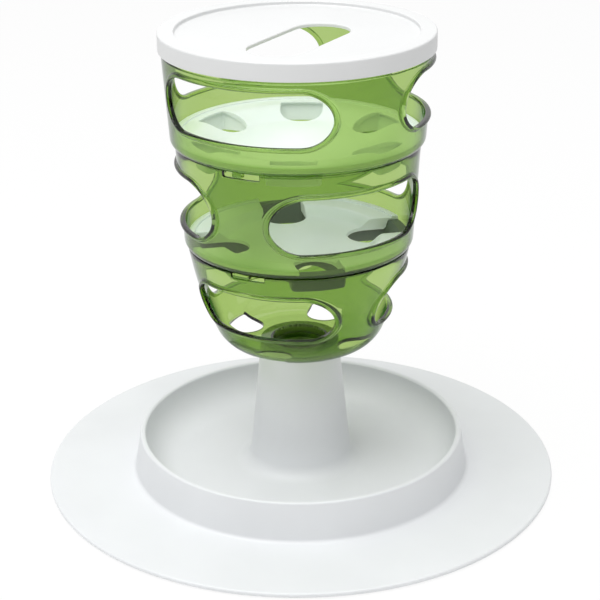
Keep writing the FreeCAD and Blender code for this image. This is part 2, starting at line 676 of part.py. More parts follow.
def middleRing():
    """The green middle tier, which turns on the cup's mouth and holds a floor plate."""
    body = newBody("middle_ring", "middleBase", "middleOpenTurn")
    wall = ("middleFoot", "middleRise", "middleMouth", "middleHeight")
    profile = outline(body, "ringProfile", "XZ_Plane", [
        *ringFoot("middleSpigot", "middleFoot", "middleBend", "middleRise"),
        ("middleMouth", "middleHeight"),
        ("middleMouth - shellWall", "middleHeight"),
        ("middleFoot - shellWall", "flangeThick"),
    ])
    revolve(body, "ringShell", profile)
    openTier(body, "middleOpenReach", "middleOpenLow", "middleOpenTall",
             *ringSpaces(*wall), ringSkin(*wall))
    notchMouth(body, "middleMouth", "middleHeight", "middleNotchDrop",
               "middleNotchTurn - middleOpenTurn")
    addLugs(body, "middleSpigot", "cupMouth", "cupNotchDrop", "cupNotchTurn - middleOpenTurn")
    return body


def topRing():
    """The green top tier, with a neck inside the lid."""
    body = newBody("top_ring", "topBase", "topOpenTurn")
    wall = ("topFoot", "topRise", "topMouth", "topShoulder")
    profile = outline(body, "ringProfile", "XZ_Plane", [
        *ringFoot("topSpigot", "topFoot", "topBend", "topRise"),
        ("topMouth", "topShoulder"),
        ("neckRadius", "topShoulder"),
        ("neckRadius", "topHeight"),
        ("neckInner", "topHeight"),
        ("neckInner", "topShoulder"),
        ("topFoot - shellWall", "flangeThick"),
    ])
    revolve(body, "ringShell", profile)
    openTier(body, "topOpenReach", "topOpenLow", "topOpenTall",
             *ringSpaces(*wall), ringSkin(*wall))
    addLugs(body, "topSpigot", "middleMouth", "middleNotchDrop", "middleNotchTurn - topOpenTurn")
    return body


def loft(body, name, kind, first, last):
    """Joins two sketches by straight faces, as material or as a cut."""
    before = body.Shape.Volume if body.Tip else 0
    feature = body.newObject("PartDesign::" + kind, name)
    feature.Profile = first
    feature.Sections = [last]
    feature.Ruled = True
    doc.recompute()
    if kind == "SubtractiveLoft" and not feature.Shape.Volume < before:
        raise ValueError(name + " cuts nothing")
    return feature


def plateUnder(tier, rim):
    """Corners of a floor plate's lower side, from the axis to its rim."""
    lean = "slopeRun * dishThick / (2 * dishDrop)"
    return [
        ("0", "plateThick - dishDrop - dishThick"),
        (f"{tier}Dish + {lean}", "plateThick - dishDrop - dishThick"),
        (f"{tier}Dish + slopeRun + {lean}", "chuteRim"),
        (rim, "chuteRim"),
    ]


def floorPlate(label, tier, base, foot, holeReach):
    """A white floor: a shelf on the chutes' ring, a low middle and feed holes."""
    body = newBody(label, f"{base} + flangeThick", f"{tier}HoleTurn")
    rim = f"{foot} - shellWall - plateGap"
    profile = outline(body, "plateProfile", "XZ_Plane", plateUnder(tier, rim) + [
        (rim, "plateThick + lipTall"),
        (f"{rim} - lipWidth", "plateThick + lipTall"),
        (f"{rim} - lipWidth", "plateThick"),
        (f"{tier}Dish + slopeRun", "plateThick"),
        (f"{tier}Dish", "plateThick - dishDrop"),
        ("0", "plateThick - dishDrop"),
    ])
    revolve(body, "plate", profile)
    fillet(body, "lipRound", "plateEdge",
           ringAt((rim, "plateThick + lipTall"), (f"{rim} - lipWidth", "plateThick + lipTall")))
    holeCorners = feedHole(f"{tier}HoleStart", holeReach, f"{tier}HoleWidth")
    hole = pocket(body, "feedHole", outline(body, "feedHoleOutline", "XY_Plane", holeCorners,
                                            lift="plateThick + lipTall"), "wide")
    around(body, "feedHoles", [hole], f"{tier}HoleCount")
    if value(holeReach) < value(rim):
        fillet(body, "feedHoleRound", "holeEdge", uprightAt(holeReach))
    return body


def chutes(label, tier, base, foot, spigot):
    """The chutes under a floor's holes, on one flat ring that lies on the flange."""
    body = newBody(label, f"{base} + flangeThick", f"{tier}HoleTurn")
    rim = f"{foot} - shellWall - plateGap"
    drop = f"{tier}ChuteDrop"
    reach = f"{spigot} - spigotWall - plateGap - chuteWall"
    flat = outline(body, "rimProfile", "XZ_Plane", [
        (f"{tier}Dish + slopeRun", "0"),
        (rim, "0"),
        (rim, "chuteRim"),
        (f"{tier}Dish + slopeRun", "chuteRim"),
    ])
    revolve(body, "rim", flat)

    def walls(name, kind, grown):
        """The outside of the chutes, grown by their wall, or their inside."""
        start = f"({tier}HoleStart - chuteLedge - {grown})"
        width = f"({tier}HoleWidth + 2 * chuteLedge + 2 * {grown})"
        upper = feedHole(start, f"({reach} + {grown})", width)
        lower = feedHole(f"({start} + chuteDraft)", f"({reach} + {grown} - {tier}ChuteLean)",
                         f"({width} - 2 * chuteDraft)")
        first = outline(body, name + "Upper", "XY_Plane", upper, lift="chuteRim")
        last = outline(body, name + "Lower", "XY_Plane", lower, lift=f"-{drop}")
        return around(body, name + "Turned", [loft(body, name, kind, first, last)],
                      f"{tier}HoleCount")
    walls("outside", "AdditiveLoft", "chuteWall")
    walls("inside", "SubtractiveLoft", "0")
    revolve(body, "fit", outline(body, "fitProfile", "XZ_Plane", plateUnder(tier, "wide") + [
        ("wide", "wide"),
        ("0", "wide"),
    ]), kind="Groove")
    inner = f"{tier}HoleStart - chuteLedge - chuteWall"
    revolve(body, "lowerEdge", outline(body, "lowerEdgeProfile", "XZ_Plane", [
        ("0", f"-{drop} - bite"),
        (f"{inner} + {tier}ChuteRun", f"-{drop} - bite"),
        (f"{inner} + {tier}ChuteRun", f"-{drop}"),
        (inner, f"{tier}ChuteRaise - {drop}"),
        ("0", f"{tier}ChuteRaise - {drop}"),
    ]), kind="Groove")
    return body


def lid():
    """The white lid: a flat rim round a sunk panel with the food slot in it."""
    body = newBody("lid", "topBase + topShoulder + lidLift")
    rimUnder = "lidTall - lidWall"
    panelTop = "lidTall - panelDrop"
    profile = outline(body, "lidProfile", "XZ_Plane", [
        ("0", f"{panelTop} - lidWall"),
        ("panelRadius + lidWall", f"{panelTop} - lidWall"),
        ("panelRadius + lidWall", rimUnder),
        ("collarRadius - collarWall", rimUnder),
        ("collarRadius - collarWall", f"{rimUnder} - collarDrop"),
        ("collarRadius", f"{rimUnder} - collarDrop"),
        ("collarRadius", rimUnder),
        ("lidRadius - lidWall", rimUnder),
        ("lidRadius - lidWall", "0"),
        ("lidRadius", "0"),
        ("lidRadius", "lidTall"),
        ("panelRadius", "lidTall"),
        ("panelRadius", panelTop),
        ("0", panelTop),
    ])
    revolve(body, "lidShell", profile)
    fillet(body, "lidRound", "lidEdge", ringAt(("lidRadius", "lidTall")))
    fillet(body, "panelRound", "panelEdge",
           ringAt(("panelRadius", "lidTall"), ("panelRadius", panelTop)))
    slotCorners = stadium("(slotLong / 2)", "(-slotWidth / 2)", "(slotWidth)")
    slot = outline(body, "slotOutline", "XY_Plane", slotCorners, lift=panelTop, turn="slotTurn",
                   shift=("slotRight", "-slotFront"))
    pocket(body, "foodSlot", slot, "wide")

    def slotMouth(edge):
        """Whether the edge lies on the panel's face, inside its rounded border."""
        border = value("panelRadius - panelEdge") - close
        return all(near(point.z, panelTop) and math.hypot(point.x, point.y) < border
                   for point in edge.discretize(3))
    fillet(body, "slotRound", "slotEdge", slotMouth)
    return body


pieces = [baseDish()]
pieces += [rubberFoot(number) for number in range(int(value("footCount")))]
pieces += [
    bottomCup(),
    middleRing(),
    chutes("middle_chutes", "middle", "middleBase", "middleFoot", "middleSpigot"),
    floorPlate("middle_floor_plate", "middle", "middleBase", "middleFoot", "middleFoot"),
    topRing(),
    chutes("top_chutes", "top", "topBase", "topFoot", "topSpigot"),
    floorPlate("top_floor_plate", "top", "topBase", "topFoot", "topHoleReach"),
    lid(),
]
doc.recompute()

for item in doc.Objects:
    if "Invalid" in item.State or "Error" in item.State:
        raise RuntimeError(f"{item.Label} failed: {item.State}")
for piece in pieces:
    if piece.Shape.isNull() or not piece.Shape.isValid():
        raise RuntimeError(piece.Label + " has no valid shape")

os.makedirs("parts", exist_ok=True)
for piece in pieces:
    piece.Shape.exportStep(f"parts/{piece.Label}.step")
    box = piece.Shape.BoundBox
    print(f"{piece.Label}: {piece.Shape.Volume / 1000:.1f} cm3, {len(piece.Shape.Solids)} solid, "
          f"x {box.XMin:.1f}..{box.XMax:.1f} y {box.YMin:.1f}..{box.YMax:.1f} "
          f"z {box.ZMin:.1f}..{box.ZMax:.1f}")
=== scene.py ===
import bmesh
import bpy
import math
import numpy as np
from mathutils import Matrix, Vector


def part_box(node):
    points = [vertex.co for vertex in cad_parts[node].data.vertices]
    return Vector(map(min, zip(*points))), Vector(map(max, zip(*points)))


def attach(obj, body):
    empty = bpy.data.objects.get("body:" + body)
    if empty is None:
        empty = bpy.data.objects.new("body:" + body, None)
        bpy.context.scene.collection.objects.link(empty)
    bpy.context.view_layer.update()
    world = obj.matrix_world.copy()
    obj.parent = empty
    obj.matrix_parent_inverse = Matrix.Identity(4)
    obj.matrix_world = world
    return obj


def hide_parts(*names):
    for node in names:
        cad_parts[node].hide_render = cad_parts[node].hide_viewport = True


# Cat food maze: white dish and column, three clear green tiers, two milky floors
# and a slotted white lid. Sizes are millimetres until a mesh is made; angles are
# degrees about the axis, counted from +X.

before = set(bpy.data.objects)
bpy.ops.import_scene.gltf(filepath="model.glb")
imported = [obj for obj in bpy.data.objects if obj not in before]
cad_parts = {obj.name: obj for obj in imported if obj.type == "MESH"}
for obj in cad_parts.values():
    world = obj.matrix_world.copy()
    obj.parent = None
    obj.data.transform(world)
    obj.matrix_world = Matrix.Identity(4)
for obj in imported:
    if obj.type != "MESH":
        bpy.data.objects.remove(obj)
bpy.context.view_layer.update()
mm = 0.001
angleStep = 1.5  # degrees between the points round the axis
sideGap = 0.04  # degrees between the two points where a height changes at once
holePoints = 240  # points round a drop hole
sharpAngle = 38.0  # edges that are bent more than this stay sharp
print("frame loaded")


def bottomOf(node):
    # the lowest height of a CAD piece
    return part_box(node)[0].z / mm


def topOf(node):
    # the highest one
    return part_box(node)[1].z / mm


# Shapes, each a grid of points: a profile carried round the axis, or rows of points round a hole.


def rounded(corners, closed=False, arcStep=9.0):
    # each corner (x, y, radius) becomes the arc that touches both its sides: it starts
    # radius / tan(half the angle between the sides) before the corner
    points = np.array([corner[:2] for corner in corners], float)
    path = []
    for place, corner in enumerate(corners):
        radius = corner[2] if len(corner) > 2 else 0.0
        atEnd = not closed and place in (0, len(corners) - 1)
        if not radius or atEnd:
            path.append(points[place:place + 1])
            continue
        before = points[place - 1] - points[place]
        after = points[(place + 1) % len(corners)] - points[place]
        before /= np.linalg.norm(before)
        after /= np.linalg.norm(after)
        half = math.acos(np.clip(before @ after, -1, 1)) / 2
        towards = (before + after) / np.linalg.norm(before + after)
        centre = points[place] + towards * radius / math.sin(half)
        start = points[place] + before * radius / math.tan(half) - centre
        turn = math.pi - 2 * half
        side = math.copysign(1.0, before[1] * after[0] - before[0] * after[1])
        steps = max(2, math.ceil(math.degrees(turn) / arcStep))
        swept = np.linspace(0, turn, steps + 1)[:, None] * side
        across = np.array([-start[1], start[0]])
        path.append(centre + start * np.cos(swept) + across * np.sin(swept))
    return np.concatenate(path)


def pairs(first, second):
    # points from their two coordinates, one of which may be a single number
    return np.stack(np.broadcast_arrays(first, second), 1)


def polar(radius, turn):
    # points at a radius and a bearing: radius times the bearing's cosine and its sine
    return pairs(radius * np.cos(turn), radius * np.sin(turn))


def arc(centre, radius, first, last, steps):
    # points of a circle at even bearings
    return centre + polar(radius, np.radians(np.linspace(first, last, steps + 1)))


def revolved(angles, rows):
    # a row is (radius, height), each a number or one value per angle; every row becomes
    # the points at its radius and height over all the angles
    grid = np.empty((len(angles), len(rows), 3))
    for place, (radius, height) in enumerate(rows):
        grid[:, place, :2] = polar(radius, np.radians(angles))
        grid[:, place, 2] = height
    return grid


def turned(points, angle):
    # the plan of some points turned about the axis: x cos - y sin, and x sin + y cos
    turn = math.radians(angle)
    return pairs(points[:, 0] * math.cos(turn) - points[:, 1] * math.sin(turn),
                 points[:, 0] * math.sin(turn) + points[:, 1] * math.cos(turn))


def measured(loop):
    # the way walked along a line of points up to each of them
    return np.concatenate([[0], np.cumsum(np.linalg.norm(np.diff(loop, axis=0), axis=1))])


def evenAngles(start, extra=(), step=angleStep):
    # one full turn in even steps, with extra angles let in
    even = start + np.arange(round(360 / step)) * step
    placed = start + (np.asarray(extra, float) - start) % 360
    return np.unique(np.round(np.concatenate([even, placed]), 6))


def between(angles, low, high):
    # the angles of a full turn that lie from low to high, both included
    several = np.concatenate([angles - 360, angles, angles + 360])
    return several[(several > low - 1e-5) & (several < high + 1e-5)]


def matchOutline(outline, border, corners):
    # for each border point a point on the hole's outline and the outward direction there:
    # the border's corners are matched by bearing and the rest by length along the side;
    # outward is square to the chord over a short step to both sides
    step = 0.3
    loop = np.vstack([outline, outline[:1]])
    lengths = measured(loop)
    around = lengths[-1]
    middle = (outline.min(0) + outline.max(0)) / 2
    bearings = np.unwrap(np.arctan2(loop[:, 1] - middle[1], loop[:, 0] - middle[0]))
    wanted = np.arctan2(border[corners, 1] - middle[1], border[corners, 0] - middle[0])
    wanted = bearings[0] + (wanted - bearings[0]) % (2 * math.pi)
    marks = np.interp(wanted, bearings, lengths)
    marks = marks[0] + np.concatenate([[0], np.cumsum(np.diff(marks, append=marks[0]) % around)])
    stops = list(corners) + [len(border)]
    ring = np.vstack([border, border[:1]])
    spots = []
    for side in range(len(corners)):
        walked = measured(ring[stops[side]:stops[side + 1] + 1])
        spots.append(marks[side] + walked[:-1] / walked[-1] * (marks[side + 1] - marks[side]))
    spots = np.concatenate(spots)

    def along(distance):
        # the outline's points at some lengths along it
        return pairs(*(np.interp(distance % around, lengths, loop[:, axis]) for axis in (0, 1)))

    tangent = along(spots + step) - along(spots - step)
    tangent /= np.linalg.norm(tangent, axis=1)[:, None]
    return along(spots), pairs(tangent[:, 1], -tangent[:, 0])


def pierced(spots, outward, border, rim, place, sheetOf, surface, steps=9):
    # a sheet with a hole: from the border over the front to the hole's edge, through it
    # and back over the rear to the border; the fields between are straight blends
    rows = [place(spots + outward * offset, level) for offset, level in rim]
    front, rear = sheetOf(rows[0]), sheetOf(rows[-1])
    shares = np.linspace(1, 0, steps, endpoint=False)
    before = [surface(front + (border - front) * share, rim[0][1]) for share in shares]
    after = [surface(rear + (border - rear) * share, rim[-1][1]) for share in shares[::-1]]
    return np.stack(before + rows + after, axis=1)


def addObject(name, data):
    # a new object in the scene
    made = bpy.data.objects.new(name, data)
    bpy.context.scene.collection.objects.link(made)
    return made


def makePiece(name, grids, body, nodes, material, base=0.0, strips=()):
    # joins the grids, each closed in its first direction, and the strips, which are open
    # in both directions, into one mesh in metres that stands at the height base
    corners, faces, count = [], [], 0
    for grid in list(grids) + list(strips):
        across, along = grid.shape[:2]
        number = count + np.arange(across * along).reshape(across, along)
        nextOne = np.roll(number, -1, axis=0)
        quads = np.stack([number[:, :-1], nextOne[:, :-1], nextOne[:, 1:], number[:, 1:]], -1)
        if any(grid is strip for strip in strips):
            quads = quads[:-1]
        corners.append(grid.reshape(-1, 3) + [0, 0, base])
        faces.append(quads.reshape(-1, 4))
        count += across * along
    mesh = bpy.data.meshes.new(name)
    mesh.from_pydata(np.concatenate(corners) * mm, [], np.concatenate(faces))
    work = bmesh.new()
    work.from_mesh(mesh)
    bmesh.ops.remove_doubles(work, verts=work.verts, dist=2e-6)
    bmesh.ops.dissolve_degenerate(work, edges=work.edges, dist=1e-6)
    bmesh.ops.recalc_face_normals(work, faces=work.faces)
    if work.calc_volume(signed=True) < 0:
        bmesh.ops.reverse_faces(work, faces=work.faces)
    loose = sum(not edge.is_manifold for edge in work.edges)
    work.to_mesh(mesh)
    work.free()
    mesh.shade_smooth()
    mesh.set_sharp_from_angle(angle=math.radians(sharpAngle))
    mesh.materials.append(material)
    piece = addObject(name, mesh)
    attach(piece, body)
    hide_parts(*nodes)
    print(name, len(mesh.polygons), "faces,", loose, "open edges")
    return piece


# Materials.


def linear(hexColour):
    # sRGB to linear: a power of 2.4 above the curve's short straight start
    levels = [int(hexColour[place:place + 2], 16) / 255 for place in (1, 3, 5)]
    curve = [level / 12.92 if level < 0.04045 else ((level + 0.055) / 1.055) ** 2.4 for level in levels]
    return curve + [1.0]


def addNode(tree, kind, values=None, links=None, stops=(), **settings):
    # a node with its settings, the stops of its ramp, the values on its sockets, and what
    # feeds them: an output, or a node for its first output
    node = tree.nodes.new("ShaderNode" + kind)
    for name, setting in settings.items():
        setattr(node, name, setting)
    for number, (position, colour) in enumerate(stops):
        node.color_ramp.elements[number].position = position
        node.color_ramp.elements[number].color = linear(colour)
    for name, number in (values or {}).items():
        node.inputs[name].default_value = number
    for name, source in (links or {}).items():
        tree.links.new(getattr(source, "outputs", [source])[0], node.inputs[name])
    return node


def newTree(name):
    # a material with an empty node tree
    material = bpy.data.materials.new(name)
    material.use_nodes = True
    material.node_tree.nodes.clear()
    return material, material.node_tree


def mouldedPlastic(name, finish):
    # a white or grey moulding: soft sheen, a spark-eroded texture, drawn coarser than it is,
    # that only breaks up the highlight, and a faint cloudiness in its colour; lampPass is
    # the share of a lamp's light that comes through it, so that what stands below a thin
    # wall isn't too dark
    material, tree = newTree(name)
    place = addNode(tree, "TexCoord").outputs["Object"]
    cloud = addNode(tree, "TexNoise", {"Scale": 1 / (finish["cloudSize"] * mm), "Detail": 3.0},
                    {"Vector": place})
    tone = addNode(tree, "ValToRGB", links={"Fac": cloud},
                   stops=[(finish["cloudStart"], finish["shade"]),
                          (finish["cloudEnd"], finish["colour"])])
    grain = addNode(tree, "TexNoise", {"Scale": 1 / (finish["grainSize"] * mm), "Detail": 2.0},
                    {"Vector": place})
    rough = addNode(tree, "MapRange", {
        "To Min": finish["roughness"] - finish["spread"],
        "To Max": finish["roughness"] + finish["spread"],
    }, {"Value": cloud})
    bump = addNode(tree, "Bump", {"Strength": finish["grainStrength"],
                                  "Distance": finish["grainDepth"] * mm}, {"Height": grain})
    shader = addNode(tree, "BsdfPrincipled", {
        "IOR": finish["ior"], "Subsurface Weight": finish["glow"],
        "Subsurface Radius": finish["glowSpread"], "Subsurface Scale": finish["glowDepth"] * mm,
    }, {"Base Color": tone, "Roughness": rough, "Normal": bump})
    passing = addNode(tree, "BsdfTransparent")
    ray = addNode(tree, "LightPath")
    let = addNode(tree, "Math", {1: finish["lampPass"]}, {0: ray.outputs["Is Shadow Ray"]},
                  operation="MULTIPLY")
    mixed = addNode(tree, "MixShader", links={0: let, 1: shader, 2: passing})
    addNode(tree, "OutputMaterial", links={"Surface": mixed})
    return material


def clearPlastic(name, finish):
    # polished clear styrene plastic with dye in it: faces are pale green and stacked walls
    # deeper. Seen nearly along a face the way through the wall is long, so the tint goes
    # from faceTint to edgeTint there. Light for shadows and for diffuse surfaces passes
    # straight on, as it does through thin clear walls.
    material, tree = newTree(name)
    slant = addNode(tree, "LayerWeight", {"Blend": 0.5})
    deep = addNode(tree, "ValToRGB", links={"Fac": slant.outputs["Facing"]},
                   stops=[(finish["slantStart"], finish["faceTint"]),
                          (finish["slantEnd"], finish["edgeTint"])])
    shader = addNode(tree, "BsdfPrincipled", {
        "Roughness": finish["roughness"], "IOR": finish["ior"], "Transmission Weight": 1.0,
    }, {"Base Color": deep})
    passing = addNode(tree, "BsdfTransparent")
    ray = addNode(tree, "LightPath")
    lighting = addNode(tree, "Math", operation="MAXIMUM",
                       links={0: ray.outputs["Is Shadow Ray"], 1: ray.outputs["Is Diffuse Ray"]})
    mixed = addNode(tree, "MixShader", links={0: lighting, 1: shader, 2: passing})
    dye = addNode(tree, "VolumeAbsorption", {"Color": linear(finish["dye"]), "Density": finish["density"]})
    addNode(tree, "OutputMaterial", links={"Surface": mixed, "Volume": dye})
    return material


def rubber(name, finish):
    # matt thermoplastic rubber, slightly mottled by its filler
    material, tree = newTree(name)
    place = addNode(tree, "TexCoord").outputs["Object"]
    mottle = addNode(tree, "TexNoise", {"Scale": 1 / (finish["grainSize"] * mm), "Detail": 4.0},
                     {"Vector": place})
    tone = addNode(tree, "ValToRGB", links={"Fac": mottle},
                   stops=[(0.0, finish["shade"]), (1.0, finish["colour"])])
    bump = addNode(tree, "Bump", {"Strength": finish["grainStrength"],
                                  "Distance": finish["grainDepth"] * mm}, {"Height": mottle})
    shader = addNode(tree, "BsdfPrincipled", {"Roughness": finish["roughness"]},
                     {"Base Color": tone, "Normal": bump})
    addNode(tree, "OutputMaterial", links={"Surface": shader})
    return material


mouldedShared = {
    "cloudStart": 0.3, "cloudEnd": 0.7, "grainSize": 0.8, "grainDepth": 0.05, "spread": 0.03,
    "ior": 1.49, "glow": 0.0, "glowSpread": (1.0, 0.95, 0.9), "glowDepth": 4.0, "lampPass": 0.0,
}
dishFinish = {**mouldedShared, "colour": "#E2E4E6", "shade": "#DEE0E2", "cloudSize": 60.0,
              "grainStrength": 0.12, "roughness": 0.42}
lidFinish = {**mouldedShared, "colour": "#DCDDDD", "shade": "#D9DADA", "cloudSize": 50.0,
             "grainStrength": 0.08, "roughness": 0.34, "lampPass": 0.85}
floorFinish = {**mouldedShared, "colour": "#F1FAF8", "shade": "#EDF7F5", "cloudSize": 30.0,
               "grainStrength": 0.08, "roughness": 0.3, "spread": 0.04, "glow": 0.15, "lampPass": 0.3}
# the middle tier's sleeves and their deep collar are coloured dark grey-green, while the top tier's
# sleeves take the white floor plastic
chuteFinish = {**mouldedShared, "colour": "#5E6A5C", "shade": "#596557", "cloudSize": 30.0,
               "grainStrength": 0.1, "roughness": 0.38, "spread": 0.04}
greenFinish = {"faceTint": "#C8DB9F", "edgeTint": "#193F16", "slantStart": 0.58, "slantEnd": 0.8,
               "dye": "#D1E397", "density": 380.0, "roughness": 0.02, "ior": 1.4}
rubberFinish = {"colour": "#8C8F90", "shade": "#7C7F80", "grainSize": 1.5, "grainStrength": 0.3,
                "grainDepth": 0.1, "roughness": 0.85}

dishPlastic = mouldedPlastic("mouldedAbsSatin", dishFinish)
lidPlastic = mouldedPlastic("mouldedAbsGloss", lidFinish)
floorPlastic = mouldedPlastic("milkyPolypropylene", floorFinish)
chutePlastic = mouldedPlastic("darkGreyGreenSleeves", chuteFinish)
greenPlastic = clearPlastic("dyedClearStyrene", greenFinish)
footRubber = rubber("mouldedRubber", rubberFinish)
print("materials made")


# The dish with its column.

dish = {
    "brimRadius": 180.0, "brimTop": 4.2, "brimUnder": 0.8, "brimEdge": 1.5,
    "wallFoot": 118.9, "wallTop": 114.6, "wallInner": 110.7, "crest": 31.8, "crestEdge": 1.7,
    "wallBend": 3.0, "floor": 6.0, "bowlBend": 24.0, "thick": 2.6,
    "columnFoot": 36.3, "columnHead": 27.2, "columnBend": 11.0, "columnEdge": 0.8,
    "bore": 20.6, "seat": 3.0, "hollowTop": 21.0, "ribs": 12, "ribWidth": 2.0, "ribBite": 0.8,
    "underBend": 0.6, "hollowBend": 0.8, "headBend": 1.0, "angleStep": 1.25,
}


def makeDish():
    # one closed profile round the axis: over the column, bowl, wall and brim, and back
    # below them; the hollow's bend has the bowl's own centre, so the wall stays even
    part = dish
    top = topOf("base_dish")
    lean = (part["wallFoot"] - part["wallTop"]) / (part["crest"] - part["brimTop"])
    thick = part["thick"]
    bendCentre = (part["wallInner"] - part["bowlBend"], part["floor"] + part["bowlBend"])
    bendRadius = part["bowlBend"] + thick
    reach = -math.degrees(math.asin((bendCentre[1] - part["hollowTop"]) / bendRadius))
    outer = rounded([
        (part["bore"], top),
        (part["columnHead"], top, part["columnEdge"]),
        (part["columnFoot"], part["floor"], part["columnBend"]),
        (part["wallInner"], part["floor"], part["bowlBend"]),
        (part["wallInner"], part["crest"], part["crestEdge"]),
        (part["wallTop"], part["crest"], part["crestEdge"]),
        (part["wallFoot"], part["brimTop"], part["wallBend"]),
        (part["brimRadius"], part["brimTop"], part["brimEdge"]),
        (part["brimRadius"], part["brimUnder"], part["brimEdge"]),
        (part["wallFoot"] - thick, part["brimUnder"], part["underBend"]),
        (part["wallFoot"] - thick - lean * part["hollowTop"], part["hollowTop"], part["hollowBend"]),
        (bendCentre[0] + bendRadius * math.cos(math.radians(reach)), part["hollowTop"]),
    ])
    under = rounded([
        (bendCentre[0], bendCentre[1] - bendRadius),
        (part["columnFoot"] - thick, part["floor"] - thick, part["columnBend"] - thick),
        (part["columnHead"] - thick, top - part["seat"], part["headBend"]),
        (part["bore"], top - part["seat"]),
        (part["bore"], top),
    ])
    bend = arc(bendCentre, bendRadius, reach, -90, 9)
    profile = np.vstack([outer, bend[1:-1], under])
    grids = [revolved(evenAngles(0, step=part["angleStep"]), profile)]
    for number in range(part["ribs"]):
        grids.append(rib(360 / part["ribs"] * number, part))
    return makePiece("dishAndColumn", grids, "base", ["base_dish"], dishPlastic)


def rib(angle, part):
    # a thin upright blade under the floor, its ends inside the walls that it joins
    half = part["ribWidth"] / 2
    reach = [part["columnFoot"], part["wallFoot"] - part["thick"] / 2]
    heights = [part["brimUnder"], part["floor"] - part["thick"] + part["ribBite"]]
    ends = np.array([(reach[0], -half), (reach[1], -half), (reach[1], half), (reach[0], half)])
    grid = np.empty((4, 4, 3))
    grid[:, :, :2] = turned(ends, angle)[:, None]
    grid[:, 1, 2], grid[:, 2, 2] = heights
    middle = grid[:, 1].mean(0)
    grid[:, 0], grid[:, 3] = middle, middle
    grid[:, 0, 2], grid[:, 3, 2] = heights
    return grid


# Walls of the green tiers. An opening's outline lies on a plane, its edge leads to the axis.


def stadium(half, low, tall):
    # a level slot with round ends, counter-clockwise: two half circles and two straights
    radius = tall / 2
    reach = half - radius
    right = arc((reach, low + radius), radius, -90, 90, 60)
    left = arc((-reach, low + radius), radius, 90, 270, 60)
    straight = np.linspace(-reach, reach, 20)[1:-1]
    return np.vstack([right, pairs(-straight, low + tall), left, pairs(straight, low)])


bead = {"width": 2.8, "proud": 1.8, "edge": 1.3, "foot": 0.9, "inside": 1.1, "field": 1.4}


def openWall(part, centre, outerAt, innerAt, lowAngles, highAngles):
    # a third of a tier's wall with one opening: sheet coordinates are the angle from the
    # middle and the height; level is how far a point stands out of the outer face, or how
    # deep it lies in the wall
    wall, low, high, opening = part["wall"], part["wallStart"], part["wallEnd"], part["opening"]

    def radius(height, level):
        # the outer face's radius plus level; a level in the wall shrinks where it is thin
        outer = outerAt(height)
        return outer + (level if level > 0 else level * (outer - innerAt(height)) / wall)

    def spot(turn, height, level):
        # the point at a bearing and a height
        return np.column_stack([polar(radius(height, level), turn), height])

    def place(points, level):
        # a point of the flat outline: it is turned by the arc sine of its distance from
        # the middle over the wall's outer radius there
        turn = np.arcsin(points[:, 0] / radius(points[:, 1], max(level, 0.0)))
        return spot(math.radians(centre) + turn, points[:, 1], level)

    def sheetOf(points):
        # the bearing, the arc tangent of y over x, counted from the middle, and the height
        turn = np.degrees(np.arctan2(points[:, 1], points[:, 0])) - centre
        return pairs((turn + 180) % 360 - 180, points[:, 2])

    def surface(sheet, level):
        # the way back from the sheet
        return spot(np.radians(sheet[:, 0] + centre), sheet[:, 1], level)

    rise = np.linspace(low, high, 31)[1:-1]
    lower = between(lowAngles, centre - 60, centre + 60) - centre
    upper = between(highAngles, centre - 60, centre + 60)[::-1] - centre
    border = np.vstack([pairs(lower, low), pairs(lower[-1], rise),
                        pairs(upper, high), pairs(lower[0], rise[::-1])])
    turning = len(lower) + len(rise)
    corners = [0, len(lower) - 1, turning, turning + len(upper) - 1]
    flat = border * [math.radians(outerAt((low + high) / 2)), 1]
    outline = stadium(opening["half"], opening["low"], opening["tall"])
    spots, outward = matchOutline(outline, flat, corners)
    rim = rounded([
        (bead["width"] + bead["field"], 0.0),
        (bead["width"], 0.0, bead["foot"]),
        (bead["width"], bead["proud"], bead["edge"]),
        (0.0, bead["proud"], bead["edge"]),
        (0.0, -wall, bead["inside"]),
        (bead["field"], -wall),
    ], arcStep=22.5)
    return pierced(spots, outward, border, rim, place, sheetOf, surface)


def notchedHeight(part, angles, lefts):
    # the mouth's height at each angle: lower inside a notch, whose left corner is a quarter
    # circle, so it stands up by radius - sqrt(radius squared - distance to its end squared)
    corner = part["notchCorner"]
    level = np.full(len(angles), part["height"])
    for left in lefts:
        offset = (angles - left + 1e-4) % 360
        ahead = np.clip(corner - np.radians(offset) * part["mouth"], 0, corner)
        curve = corner - np.sqrt(np.clip(corner ** 2 - ahead ** 2, 0, None))
        level = np.where(offset < part["notchWidth"], part["height"] - part["notchDrop"] + curve, level)
    return level


def notchAngles(part, lefts):
    # where the mouth needs points: both sides of each notch and along its round corner
    width, swept = part["notchWidth"], np.linspace(0, math.pi / 2, 7)
    curve = np.degrees(part["notchCorner"] / part["mouth"]) * (1 - np.cos(swept))
    several = [np.concatenate([[left - sideGap], left + curve, [left + width - sideGap, left + width]])
               for left in lefts]
    return np.concatenate(several)


def notchedMouth(part, outerAt, innerAt):
    # the mouth's angles, and its rows from the outer wall over a round edge and a lip to
    # the inner wall
    lefts, start, edge = thirds(part["notchLeft"]), part["wallEnd"], part["mouthEdge"]
    angles = evenAngles(part["turn"] - 60, notchAngles(part, lefts))
    level = notchedHeight(part, angles, lefts)
    swept = np.radians(np.linspace(0, 90, 5))
    rows = [(outerAt(start), start)]
    for wallAt, side, turns in ((outerAt, -edge, swept), (innerAt, edge, swept[::-1])):
        rows += [(wallAt(level) + side * (1 - math.cos(turn)), level - edge * (1 - math.sin(turn)))
                 for turn in turns]
    rows.append((innerAt(start), start))
    return angles, revolved(angles, rows)


